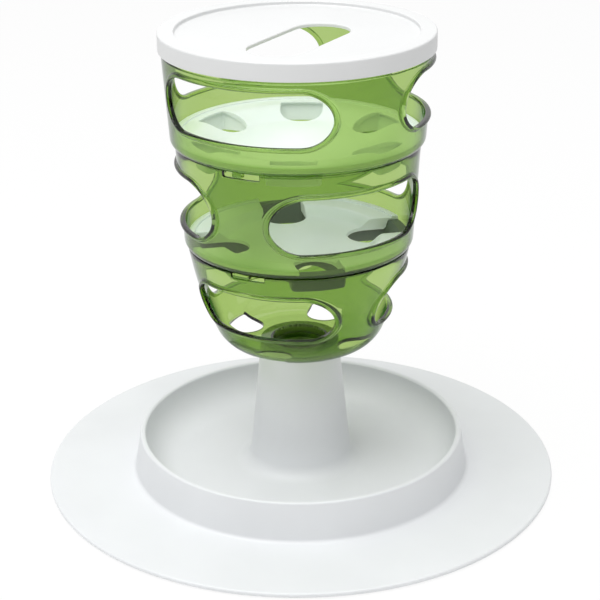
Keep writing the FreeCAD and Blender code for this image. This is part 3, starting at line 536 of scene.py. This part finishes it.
def footRows(part, innerAt, outerAt, web, lug):
    # from the inner wall down over the flange, the spigot and the lugs to the outer wall;
    # web and lug say how far these hang down at each angle
    start, edge = part["wallStart"], part["spigotEdge"]
    inside, outside = part["spigot"] - part["spigotWall"], part["spigot"]
    lugReach = part["below"] - part["lugInset"]
    rows = list(rounded([
        (innerAt(start), start),
        (innerAt(part["flange"]), part["flange"], part["flangeBend"]),
        (inside, part["flange"], part["flangeEdge"]),
        (inside, 0.0),
    ]))
    rows += [(inside, -np.maximum(web - edge, 0)), (inside + edge, -web), (outside - edge, -web)]
    rows += [(outside, -np.maximum(web - edge, lug)), (outside, -lug)]
    rows += [(lugReach, -lug), (lugReach, 0.0)]
    first = -math.degrees(math.asin(part["rise"] / part["bend"]))
    rows += list(arc((part["foot"] - part["bend"], part["rise"]), part["bend"], first, 0, 7))
    rows.append((outerAt(start), start))
    return rows


def hanging(angles, middles, width, inside, outside):
    # how far something hangs down: inside its angles and outside them
    offsets = [np.abs((angles - middle + 180) % 360 - 180) for middle in middles]
    return np.where(np.min(offsets, axis=0) < width / 2, inside, outside)


def thirds(angle):
    # an angle and its like a third and two thirds of a turn on
    return [angle, angle + 120, angle + 240]


def edgesOf(middles, width):
    # points just inside and outside both ends of each stretch
    return [middle + side * (width / 2 + gap) for middle in middles for side in (-1, 1)
            for gap in (-sideGap, sideGap)]


cup = {
    "flat": 37.0, "bend": 23.5, "bendTurn": 66.0, "side": 249.0, "mouth": 76.0, "height": 74.1,
    "wall": 2.5, "mouthEdge": 0.6, "turn": -116.5,
    "opening": {"half": 49.8, "low": 26.2, "tall": 31.5},
    "notchLeft": -126.0, "notchWidth": 18.6, "notchDrop": 3.4, "notchCorner": 1.3,
    "plug": 20.3, "plugDeep": 8.3, "recess": 2.8, "recessEdge": 1.4, "recessBend": 0.8,
    "plugBend": 0.3, "plugEdge": 0.5, "plugInnerEdge": 0.4, "plugInnerBend": 0.5,
    "holes": 4, "holeTurn": 65.0, "holeStart": 29.9, "holeReach": 51.0, "holeWidth": 24.6,
    "holeCorner": 1.2, "holeTopEdge": 0.6, "holeLowEdge": 0.4, "cellInner": 25.0, "cellOuter": 54.0,
    "wallStart": 18.0, "wallEnd": 69.0,
}


def cupSide(part, thin):
    # the radius of the cup's side at a height, thin millimetres inside its outer face:
    # the big arc passes through the end of the lower bend and the edge of the mouth
    turn = math.radians(part["bendTurn"])
    low = np.array([part["flat"] + part["bend"] * math.sin(turn), part["bend"] * (1 - math.cos(turn))])
    high = np.array([part["mouth"], part["height"]])
    chord = high - low
    length = np.linalg.norm(chord)
    lift = math.sqrt(part["side"] ** 2 - length ** 2 / 4) / length
    centre = (low + high) / 2 + lift * np.array([-chord[1], chord[0]])

    def radiusAt(height):
        # the centre's, plus the root of the arc's radius squared less the rise squared
        return centre[0] + np.sqrt((part["side"] - thin) ** 2 - (height - centre[1]) ** 2)
    return radiusAt


def holeLoop(start, reach, width, corner):
    # a hole along +X: round towards the axis, straight sides, and an outer end that
    # follows a circle about the axis, with rounded corners; holes of different sizes
    # have the same number of points
    half = width / 2
    bend = start + half
    end = math.degrees(math.asin(half / reach))
    across = reach * math.cos(math.radians(end))
    outer = arc((0.0, 0.0), reach, -end, end, 12)[2:-2]
    corners = [(bend, -half), (across, -half, corner), *outer, (across, half, corner), (bend, half)]
    inner = arc((bend, 0.0), half, 90, 270, 60)
    return np.vstack([rounded(corners, arcStep=19)[1:-1], inner])


def feedHole(*sizes):
    # the same hole with points at even distances
    path = holeLoop(*sizes)
    closed = np.vstack([path, path[:1]])
    lengths = measured(closed)
    even = np.linspace(0, lengths[-1], holePoints + 1)[:-1]
    return pairs(*(np.interp(even, lengths, closed[:, axis]) for axis in (0, 1)))


def floorCell(part, middle, half, angles, outer, outline, upper, lower):
    # a piece of a floor with one hole, bounded by two circles and two radii; sheet
    # coordinates are the plan's, turned back to +X, upper and lower give the heights at a
    # radius, and level runs from 0 on the upper side to -1 on the lower one
    def spot(points, level):
        # the upper side's height plus level times the thickness there
        reach = np.hypot(points[:, 0], points[:, 1])
        height = upper(reach) + level * (upper(reach) - lower(reach))
        return np.column_stack([turned(points, middle), height])

    def sheetOf(points):
        # the plan turned back
        return turned(points, -middle)

    inner, topEdge, lowEdge = part["cellInner"], part["holeTopEdge"], part["holeLowEdge"]
    spread = np.radians(between(angles, middle - half, middle + half) - middle)
    radii = np.linspace(inner, outer, 17)[1:-1]
    side = math.radians(half)
    border = np.vstack([polar(outer, spread), polar(radii[::-1], side),
                        polar(inner, spread[::-1]), polar(radii, -side)])
    turning = len(spread) + len(radii)
    corners = [0, len(spread) - 1, turning, turning + len(spread) - 1]
    spots, outward = matchOutline(outline, border, corners)
    ends = np.array([inner, outer])
    thick = float(np.mean(upper(ends) - lower(ends)))
    rim = [(offset, -depth / thick) for offset, depth in rounded([
        (topEdge + 0.1, 0.0), (0.0, 0.0, topEdge), (0.0, thick, lowEdge), (lowEdge + 0.1, thick),
    ], arcStep=22.5)]
    return pierced(spots, outward, border, rim, spot, sheetOf, spot, steps=7)


def makeCup():
    # mouth, three open walls, four floor cells with a drop hole each, the bends that join
    # them, and the sunk middle with the plug under it
    part = cup
    outerAt, innerAt = cupSide(part, 0.0), cupSide(part, part["wall"])
    even = evenAngles(part["turn"] - 60)
    mouth, mouthGrid = notchedMouth(part, outerAt, innerAt)
    grids = [mouthGrid]
    for centre in thirds(part["turn"]):
        grids.append(openWall(part, centre, outerAt, innerAt, even, mouth))

    def floorSide(thin):
        # the height at a radius of the side that lies thin millimetres inside the cup's
        # underside: level at first, then bend - sqrt(the side's bend squared - way squared)
        def heightAt(radius):
            way = np.clip(radius - part["flat"], 0, None)
            return part["bend"] - np.sqrt((part["bend"] - thin) ** 2 - way ** 2)
        return heightAt

    outline = feedHole(part["holeStart"], part["holeReach"], part["holeWidth"], part["holeCorner"])
    half = 180 / part["holes"]
    for number in range(part["holes"]):
        grids.append(floorCell(part, part["holeTurn"] + 2 * half * number, half, even,
                               part["cellOuter"], outline, floorSide(part["wall"]), floorSide(0.0)))
    for thin, radiusAt in ((0.0, outerAt), (part["wall"], innerAt)):
        bend = part["bend"] - thin
        first = -math.degrees(math.acos((part["cellOuter"] - part["flat"]) / bend))
        bent = arc((part["flat"], part["bend"]), bend, first, part["bendTurn"] - 90, 6)
        heights = np.linspace(bent[-1][1], part["wallStart"], 4)[1:]
        grids.append(revolved(even, list(bent) + [(radiusAt(height), height) for height in heights]))
    floor, bore = part["wall"], part["plug"] - part["wall"]
    grids.append(revolved(even, rounded([
        (part["cellInner"], floor), (bore, floor, part["recessEdge"]),
        (bore, -part["recess"], part["recessBend"]), (0.0, -part["recess"]),
    ])))
    grids.append(revolved(even, rounded([
        (part["cellInner"], 0.0), (part["plug"], 0.0, part["plugBend"]),
        (part["plug"], -part["plugDeep"], part["plugEdge"]),
        (bore, -part["plugDeep"], part["plugInnerEdge"]),
        (bore, -part["recess"] - part["wall"], part["plugInnerBend"]),
        (0.0, -part["recess"] - part["wall"]),
    ])))
    base = bottomOf("bottom_cup") + part["plugDeep"]
    return makePiece("clearCup", grids, "cup", ["bottom_cup"], greenPlastic, base)


ringShared = {
    "wall": 2.5, "flange": 2.5, "spigotWall": 1.4, "spigotDrop": 2.4, "notchLeft": -126.0,
    "notchWidth": 18.6, "notchCorner": 1.3, "lugFloat": 0.7, "lugInset": 0.4, "notchGap": 0.2,
    "mouthEdge": 0.6, "flangeBend": 0.8, "flangeEdge": 0.4, "spigotEdge": 0.3,
}
middleRing = {
    **ringShared, "name": "clearMiddleRing", "node": "middle_ring", "body": "middle_tier",
    "foot": 78.3, "mouth": 82.4, "height": 71.8, "bend": 6.2, "rise": 5.6, "spigot": 72.7,
    "below": 76.0, "belowDrop": 3.4, "notchDrop": 4.1, "turn": -58.5, "lugStart": 0.8, "lugWidth": 9.4,
    "opening": {"half": 57.3, "low": 18.1, "tall": 38.0}, "wallStart": 8.5, "wallEnd": 66.0,
}
topRing = {
    **ringShared, "name": "clearTopRing", "node": "top_ring", "body": "top_tier",
    "foot": 85.7, "mouth": 89.6, "height": 62.7, "bend": 5.0, "rise": 4.8, "spigot": 79.1,
    "below": 82.4, "belowDrop": 4.1, "neck": 88.7, "neckHeight": 72.7, "neckEdge": 0.5, "turn": -118.0,
    "shoulder": 61.4, "shoulderEdge": 0.8, "lugStart": 5.3, "lugWidth": 4.6,
    "opening": {"half": 59.8, "low": 20.0, "tall": 35.3}, "wallStart": 8.5, "wallEnd": 60.1,
}


def makeRing(part):
    # foot, neck or mouth, and three open walls; the spigot hangs down all round but in the
    # notches below, where it ends high and only the lug hangs
    hang = part["belowDrop"] - part["lugFloat"]

    def wallSide(start, thin):
        # the radius at a height of the side that lies thin millimetres inside the wall: it
        # grows evenly with the height from start to the top
        def radiusAt(height):
            share = (height - start) / (part["height"] - start)
            return part["foot"] - thin + (part["mouth"] - part["foot"]) * share
        return radiusAt

    outerAt, innerAt = wallSide(part["rise"], 0.0), wallSide(part["flange"], part["wall"])
    lefts, end = thirds(part["notchLeft"]), part["wallEnd"]
    lugs = [left + part["lugStart"] + part["lugWidth"] / 2 for left in lefts]
    notches = [left + part["notchWidth"] / 2 for left in lefts]
    low = evenAngles(part["turn"] - 60,
                     edgesOf(lugs, part["lugWidth"]) + edgesOf(notches, part["notchWidth"]))
    lug = hanging(low, lugs, part["lugWidth"], hang, 0.0)
    spigot = hanging(low, notches, part["notchWidth"], part["notchGap"], part["spigotDrop"])
    grids = [revolved(low, footRows(part, innerAt, outerAt, np.maximum(lug, spigot), lug))]
    if "neck" in part:
        high = evenAngles(part["turn"] - 60)
        inside, edge = part["mouth"] - part["wall"], part["neckEdge"]
        grids.append(revolved(high, rounded([
            (outerAt(end), end), (part["mouth"], part["shoulder"], part["shoulderEdge"]),
            (part["neck"], part["shoulder"]), (part["neck"], part["neckHeight"], edge),
            (inside, part["neckHeight"], edge), (inside, part["height"]), (innerAt(end), end),
        ])))
    else:
        high, mouthGrid = notchedMouth(part, outerAt, innerAt)
        grids.append(mouthGrid)
    for centre in thirds(part["turn"]):
        grids.append(openWall(part, centre, outerAt, innerAt, low, high))
    return makePiece(part["name"], grids, part["body"], [part["node"]], greenPlastic,
                     bottomOf(part["node"]) + hang)


plateShared = {"shelf": 2.6, "drop": 6.0, "thick": 2.4, "run": 10.0, "lipWidth": 4.4, "lipTall": 1.1,
               "under": 1.0, "corner": 1.2, "edge": 0.4, "cut": 0.12}
middlePlate = {
    **plateShared, "name": "middleFloor", "node": "middle_floor_plate", "body": "middle_tier",
    "rim": 75.5, "dish": 47.5, "holes": 4, "turn": 11.5, "holeStart": 34.5, "holeReach": None,
    "holeWidth": 30.0, "cellInner": 31.0, "skirt": 1.8, "skirtEnd": 66.6, "skirtStart": 68.6,
    "straight": 52.6,
}
topPlate = {
    **plateShared, "name": "topFloor", "node": "top_floor_plate", "body": "top_tier",
    "rim": 82.9, "dish": 44.0, "holes": 6, "turn": 27.5, "holeStart": 44.5, "holeReach": 73.0,
    "holeWidth": 29.5, "holeTopEdge": 0.5, "holeLowEdge": 0.3, "brink": 0.7, "cellInner": 40.0,
    "run": 24.4,
}


def plateHeights(part):
    # the heights of a floor's upper and lower side at a radius: level in the middle, then
    # rising to the shelf as three times the square less twice the cube of the share walked
    low = part["shelf"] - part["drop"]
    shift = part["run"] * part["thick"] / (2 * part["drop"])

    def slope(radius, start):
        share = np.clip((radius - start) / part["run"], 0, 1)
        return share ** 2 * (3 - 2 * share)

    def over(radius):
        return low + part["drop"] * slope(radius, part["dish"])

    def under(radius):
        return low - part["thick"] + (part["under"] + part["thick"] - low) * slope(
            radius, part["dish"] + shift)
    return over, under


def openCell(part, middle, half, angles, over, under):
    # the floor round a hole that is open at the rim: columns run along the hole in a U and
    # rows lead over the top to its edge, down the skirt and back below; points between
    # the border and the hole share out the distance in radius and in angle; edge is the
    # rounding of the rim and its lip, and cut what it takes off halfway
    rim, lip, rise = part["rim"], part["rim"] - part["lipWidth"], part["lipTall"]
    edge, cut = part["edge"], part["cut"]
    radii = np.array([rim, rim - cut, rim - edge, (rim + lip) / 2, lip + edge, lip + cut, lip,
                      lip - 0.1, lip - 0.25, *np.linspace(lip - 1.5, part["straight"], 14)])
    lipNodes = [lip - 0.25, lip - 0.1, lip, lip + cut, lip + edge, rim - edge, rim - cut, rim]
    lipHeights = [0.0, cut, rise - edge, rise - cut, rise, rise, rise - cut, rise - edge]
    bend, limit = part["holeStart"] + part["holeWidth"] / 2, math.radians(half)
    inward = np.linspace(part["straight"], part["cellInner"], 12)[1:-1]
    swept = np.radians(between(angles, middle - half, middle + half) - middle)
    border = np.vstack([pairs(radii, -limit), pairs(inward, -limit), pairs(part["cellInner"], swept),
                        pairs(inward[::-1], limit), pairs(radii[::-1], limit)])
    flat = polar(border[:, 0], border[:, 1])
    bent = slice(len(radii), len(border) - len(radii))
    walked = measured(flat[bent])
    turns = -math.pi / 2 - math.pi * walked / walked[-1]

    def holeAt(grown):
        # radius and angle of the hole's outline when it is grown by a distance
        wide = part["holeWidth"] / 2 + grown
        outline = border.copy()
        outline[:len(radii), 1] = -np.arcsin(wide / radii)
        outline[-len(radii):, 1] = np.arcsin(wide / radii[::-1])
        across, upward = bend + wide * np.cos(turns), wide * np.sin(turns)
        outline[bent] = pairs(np.hypot(across, upward), np.arctan2(upward, across))
        return outline

    def top(radius):
        # the upper side, and on it the lip's section between its nodes
        return over(radius) + np.interp(radius, lipNodes, lipHeights)

    def bottom(radius):
        # the lower side, which the rim's rounding raises
        return under(radius) + np.interp(radius, [rim - edge, rim - cut, rim], [0.0, cut, edge])

    def skirtFoot(radius):
        # the skirt ends level with the middle's underside and runs out before the rim
        foot = np.interp(radius, [part["skirtEnd"], part["skirtStart"]],
                         [part["shelf"] - part["drop"] - part["thick"], part["under"]])
        return np.minimum(foot, bottom(radius))

    shares = np.linspace(0, 1, 8)
    brink, far = holeAt(0.5), holeAt(part["skirt"])
    depth = np.clip(bottom(brink[:, 0]) - skirtFoot(brink[:, 0]), 0, 0.3)
    # a round of half a millimetre at the brink, so far out of the hole and so far down,
    # and one of 0.3 at both edges of the skirt's foot
    brinkSteps = ((0.31, 0.04), (0.15, 0.15), (0.04, 0.31), (0.0, 0.5))
    footSteps = ((0.0, 1.0), (0.3, 0.0), (part["skirt"] - 0.3, 0.0), (part["skirt"], 1.0))
    rows = [(border + (brink - border) * share, top, 0.0) for share in shares]
    rows += [(holeAt(grown), top, -down) for grown, down in brinkSteps]
    rows += [(holeAt(grown), skirtFoot, depth * share) for grown, share in footSteps]
    rows += [(border + (far - border) * share, bottom, 0.0) for share in shares[::-1]]
    turn = math.radians(middle)
    cell = np.stack([np.column_stack([polar(place[:, 0], place[:, 1] + turn),
                                      side(place[:, 0]) + extra])
                     for place, side, extra in rows], axis=1)
    count = len(rows) // 2
    caps = [np.stack([cell[end, :count], cell[end, ::-1][:count]], axis=1) for end in (0, -1)]
    return [cell] + caps


def makePlate(part):
    # a level middle, one cell for each hole, and a lip round the rim, which the open cells
    # bring along themselves
    over, under = plateHeights(part)
    half = 180 / part["holes"]
    middles = [part["turn"] + 2 * half * number for number in range(part["holes"])]
    angles = evenAngles(part["turn"] - half)
    inner = part["cellInner"]
    grids = [revolved(angles, [(0.0, side(0.0)), (inner / 2, side(0.0)), (inner, side(0.0))])
             for side in (over, under)]
    strips = []
    if part["holeReach"]:
        reach = part["holeReach"] + part["brink"]
        outline = feedHole(part["holeStart"], part["holeReach"], part["holeWidth"], part["corner"])
        grids += [floorCell(part, middle, half, angles, reach, outline, over, under)
                  for middle in middles]
        shelf, lip, edge = part["shelf"], part["rim"] - part["lipWidth"], part["edge"]
        grids.append(revolved(angles, rounded([
            (reach, shelf), (lip, shelf, edge), (lip, shelf + part["lipTall"], edge),
            (part["rim"], shelf + part["lipTall"], edge), (part["rim"], part["under"], edge),
            (reach, part["under"]),
        ], arcStep=30)))
    else:
        for middle in middles:
            strips += openCell(part, middle, half, angles, over, under)
    base = topOf(part["node"]) - part["shelf"] - part["lipTall"]
    return makePiece(part["name"], grids, part["body"], [part["node"]], floorPlastic,
                     base, strips)


chuteShared = {"wall": 2.0, "draft": 1.3, "corner": 1.6, "flat": 1.0, "edge": 0.6, "cut": 0.18,
               "bite": 0.3, "collar": 0.4, "collarEdge": 0.3, "rimEdge": 0.2, "gap": 0.05}
middleChutes = {
    **chuteShared, "name": "middleChutes", "node": "middle_chutes", "body": "middle_tier",
    "plate": middlePlate, "start": 32.5, "width": 34.0, "reach": 69.0, "lean": 5.0, "drop": 14.1,
    "raised": 5.8, "run": 11.5, "slot": "chute_plastic", "collar": 2.4,
}
topChutes = {
    **chuteShared, "name": "topChutes", "node": "top_chutes", "body": "top_tier",
    "plate": topPlate, "start": 42.5, "width": 33.5, "reach": 75.4, "lean": 2.5, "drop": 11.1,
    "raised": 3.0, "run": 27.0, "slot": "floor_plastic",
}


def makeChutes(part, material):
    # a sleeve hangs under each hole; its walls blend from the upper outline to the lower
    # one and its lower edge rises towards the axis; a ring with a collar joins the sleeves
    plate, flat, edge, cut = part["plate"], part["flat"], part["edge"], part["cut"]
    under = plateHeights(plate)[1]
    walls = []
    for grown in (0.0, part["wall"]):
        start, reach, width = part["start"] - grown, part["reach"] + grown, part["width"] + 2 * grown
        upper = holeLoop(start, reach, width, part["corner"] + grown)
        lower = holeLoop(start + part["draft"], reach - part["lean"], width - 2 * part["draft"],
                         part["corner"] + grown)
        walls.append((upper, lower))

    def spot(outward, height):
        # a point in the wall: outward is 0 on its inside and 1 on its outside
        share = ((flat - height) / (flat + part["drop"]))[:, None]
        inside, outside = (upper + (lower - upper) * share for upper, lower in walls)
        return inside + (outside - inside) * outward

    foot = np.hypot(*walls[1][1].T)
    raised = part["raised"] * np.clip(1 - (foot - part["start"] + part["wall"]) / part["run"], 0, 1)
    low = raised - part["drop"]
    top = np.minimum(under(np.hypot(*walls[0][0].T)) + part["bite"], flat - 0.02)
    # the sleeve's section: the share of the wall's thickness, and the height
    section = [(0.0, top), (0.0, low + edge), (0.08, low + cut), (0.3, low), (0.7, low),
               (0.92, low + cut), (1.0, low + edge), (1.0, top), (0.0, top)]
    grids = []
    for number in range(plate["holes"]):
        angle = plate["turn"] + 360 / plate["holes"] * number
        rows = [np.column_stack([turned(spot(outward, height), angle), height])
                for outward, height in section]
        grids.append(np.stack(rows, axis=1))
    inner, outer, collar = part["reach"], part["reach"] + part["wall"], part["collar"]
    collarEdge, rimEdge, gap = part["collarEdge"], part["rimEdge"], part["gap"]
    ring = rounded([(inner, -collar, collarEdge), (outer, -collar, collarEdge), (outer, gap),
                    (plate["rim"], gap, rimEdge), (plate["rim"], flat - gap, rimEdge),
                    (inner, flat - gap, rimEdge)], closed=True)
    grids.append(revolved(evenAngles(0), np.vstack([ring, ring[:1]])))
    return makePiece(part["name"], grids, part["body"], [part["node"]], material,
                     topOf(part["node"]) - flat)


lid = {
    "radius": 91.5, "tall": 12.1, "wall": 2.4, "edge": 1.3, "panel": 80.5, "panelDrop": 2.8,
    "panelEdge": 0.9, "panelBend": 0.6, "footEdge": 0.5, "softEdge": 0.4, "collar": 86.6,
    "collarWall": 1.5, "collarDrop": 6.0, "collarBend": 0.3, "cell": 78.0, "slotLong": 95.0,
    "slotWidth": 39.5, "slotAt": (1.5, -19.0), "slotTurn": 60.0, "slotEdge": 0.8,
}


def makeLid():
    # the profile of skirt, collar and panel round the axis, and the slotted panel in it
    part = lid
    top, wall, soft, bend = part["tall"], part["wall"], part["softEdge"], part["collarBend"]
    panel, under = top - part["panelDrop"], top - wall
    skirt, inside = part["radius"] - wall, part["collar"] - part["collarWall"]
    angles = evenAngles(0)
    profile = rounded([
        (part["cell"], panel), (part["panel"], panel, part["panelEdge"]),
        (part["panel"], top, part["panelEdge"]), (part["radius"], top, part["edge"]),
        (part["radius"], 0.0, part["footEdge"]), (skirt, 0.0, soft), (skirt, under, soft),
        (part["collar"], under, bend), (part["collar"], under - part["collarDrop"], soft),
        (inside, under - part["collarDrop"], soft), (inside, under, bend),
        (part["panel"] + wall, under, soft), (part["panel"] + wall, panel - wall, part["panelBend"]),
        (part["cell"], panel - wall),
    ])
    flat = stadium(part["slotLong"] / 2, -part["slotWidth"] / 2, part["slotWidth"])
    outline = turned(flat, part["slotTurn"]) + part["slotAt"]
    border = polar(part["cell"], np.radians(angles))
    corners = [0, len(angles) // 4, len(angles) // 2, 3 * len(angles) // 4]
    spots, outward = matchOutline(outline, border, corners)

    def spot(points, level):
        # the panel's upper side, moved by level
        return np.insert(points, 2, panel + level, axis=1)

    rim = rounded([(part["slotEdge"] + 0.1, 0.0), (0.0, 0.0, part["slotEdge"]),
                   (0.0, -wall, soft), (soft + 0.1, -wall)], arcStep=22.5)
    panelGrid = pierced(spots, outward, border, rim, spot, lambda points: points[:, :2], spot)
    return makePiece("slottedLid", [revolved(angles, profile), panelGrid], "lid", ["lid"],
                     lidPlastic, bottomOf("lid"))


makeDish()
makeCup()
makeRing(middleRing)
makeRing(topRing)
makePlate(middlePlate)
makePlate(topPlate)
makeChutes(middleChutes, chutePlastic)
makeChutes(topChutes, floorPlastic)
makeLid()
for name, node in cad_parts.items():
    if name.startswith("rubber_foot"):
        node.data.materials.clear()
        node.data.materials.append(footRubber)
print("pieces made")


# The studio: floor, sky, lamp and camera.

studio = {
    "floorSize": 4.0, "floorColour": "#F7F7F7", "skyStrength": 0.46, "floorGlow": 0.9,
    "keyPower": 56.0, "keySize": 2.6, "keyAt": (-0.4, -0.45, 2.3), "keyTarget": (0.0, 0.0, 0.15),
}
view = {
    "back": 1064.8, "up": 572.3, "pitch": 22.64, "yaw": 0.062, "roll": -0.509,
    "focalPixels": 1657.3, "imagePixels": 600, "sensor": 36.0, "shiftX": -0.8, "farEnd": 20.0,
}


def makeFloor():
    # a flat painted sheet; seen directly or through clear plastic it glows nearly white
    half = studio["floorSize"] / 2
    mesh = bpy.data.meshes.new("studioFloor")
    mesh.from_pydata([(-half, -half, 0), (half, -half, 0), (half, half, 0), (-half, half, 0)], [],
                     [(0, 1, 2, 3)])
    material, tree = newTree("paintedFloor")
    diffuse = addNode(tree, "BsdfDiffuse", {"Color": linear(studio["floorColour"])})
    white = addNode(tree, "Emission", {"Strength": 1.0})
    ray = addNode(tree, "LightPath")
    straight = addNode(tree, "Math", operation="MAXIMUM",
                       links={0: ray.outputs["Is Camera Ray"], 1: ray.outputs["Is Transmission Ray"]})
    seen = addNode(tree, "Math", {1: studio["floorGlow"]}, {0: straight}, operation="MULTIPLY")
    mixed = addNode(tree, "MixShader", links={0: seen, 1: diffuse, 2: white})
    addNode(tree, "OutputMaterial", links={"Surface": mixed})
    mesh.materials.append(material)
    floor = addObject("studioFloor", mesh)


def makeSky():
    # white all round, at full strength where it is seen or mirrored, weaker as a light
    world = bpy.data.worlds.new("studioSky")
    bpy.context.scene.world = world
    world.use_nodes = True
    tree = world.node_tree
    tree.nodes.clear()
    ray = addNode(tree, "LightPath")
    glossy = addNode(tree, "Math", operation="MAXIMUM",
                     links={0: ray.outputs["Is Camera Ray"], 1: ray.outputs["Is Glossy Ray"]})
    seen = addNode(tree, "Math", operation="MAXIMUM",
                   links={0: glossy, 1: ray.outputs["Is Transmission Ray"]})
    strength = addNode(tree, "MapRange", {"To Min": studio["skyStrength"], "To Max": 1.0},
                       {"Value": seen})
    sky = addNode(tree, "Background", {"Color": (1.0, 1.0, 1.0, 1.0)}, {"Strength": strength})
    addNode(tree, "OutputWorld", links={"Surface": sky})


def makeKeyLamp():
    # one large round softbox above the front left, turned to its target
    lamp = bpy.data.lights.new("keyLamp", "AREA")
    lamp.shape = "DISK"
    lamp.size = studio["keySize"]
    lamp.energy = studio["keyPower"]
    lampObject = addObject("keyLamp", lamp)
    lampObject.location = studio["keyAt"]
    towards = Vector(studio["keyTarget"]) - Vector(studio["keyAt"])
    lampObject.rotation_euler = towards.to_track_quat("-Z", "Y").to_euler()


def makeCamera():
    # forward from pitch and yaw, right level with the ground, then both turned by the roll
    pitch, yaw, roll = (math.radians(view[name]) for name in ("pitch", "yaw", "roll"))
    level = math.cos(pitch)
    forward = Vector((math.sin(yaw) * level, math.cos(yaw) * level, -math.sin(pitch)))
    right = forward.cross(Vector((0, 0, 1))).normalized()
    up = right.cross(forward)
    tiltedRight = right * math.cos(roll) + up * math.sin(roll)
    tiltedUp = up * math.cos(roll) - right * math.sin(roll)
    camera = bpy.data.cameras.new("studioCamera")
    camera.sensor_width = view["sensor"]
    camera.lens = view["focalPixels"] / view["imagePixels"] * view["sensor"]
    camera.clip_end = view["farEnd"]
    cameraObject = addObject("studioCamera", camera)
    placed = Matrix((tiltedRight, tiltedUp, -forward)).transposed().to_4x4()
    placed.translation = Vector((view["shiftX"], -view["back"], view["up"])) * mm
    cameraObject.matrix_world = placed
    bpy.context.scene.camera = cameraObject


makeFloor()
makeSky()
makeKeyLamp()
makeCamera()
bpy.context.scene.view_settings.view_transform = "Standard"
print("studio made")
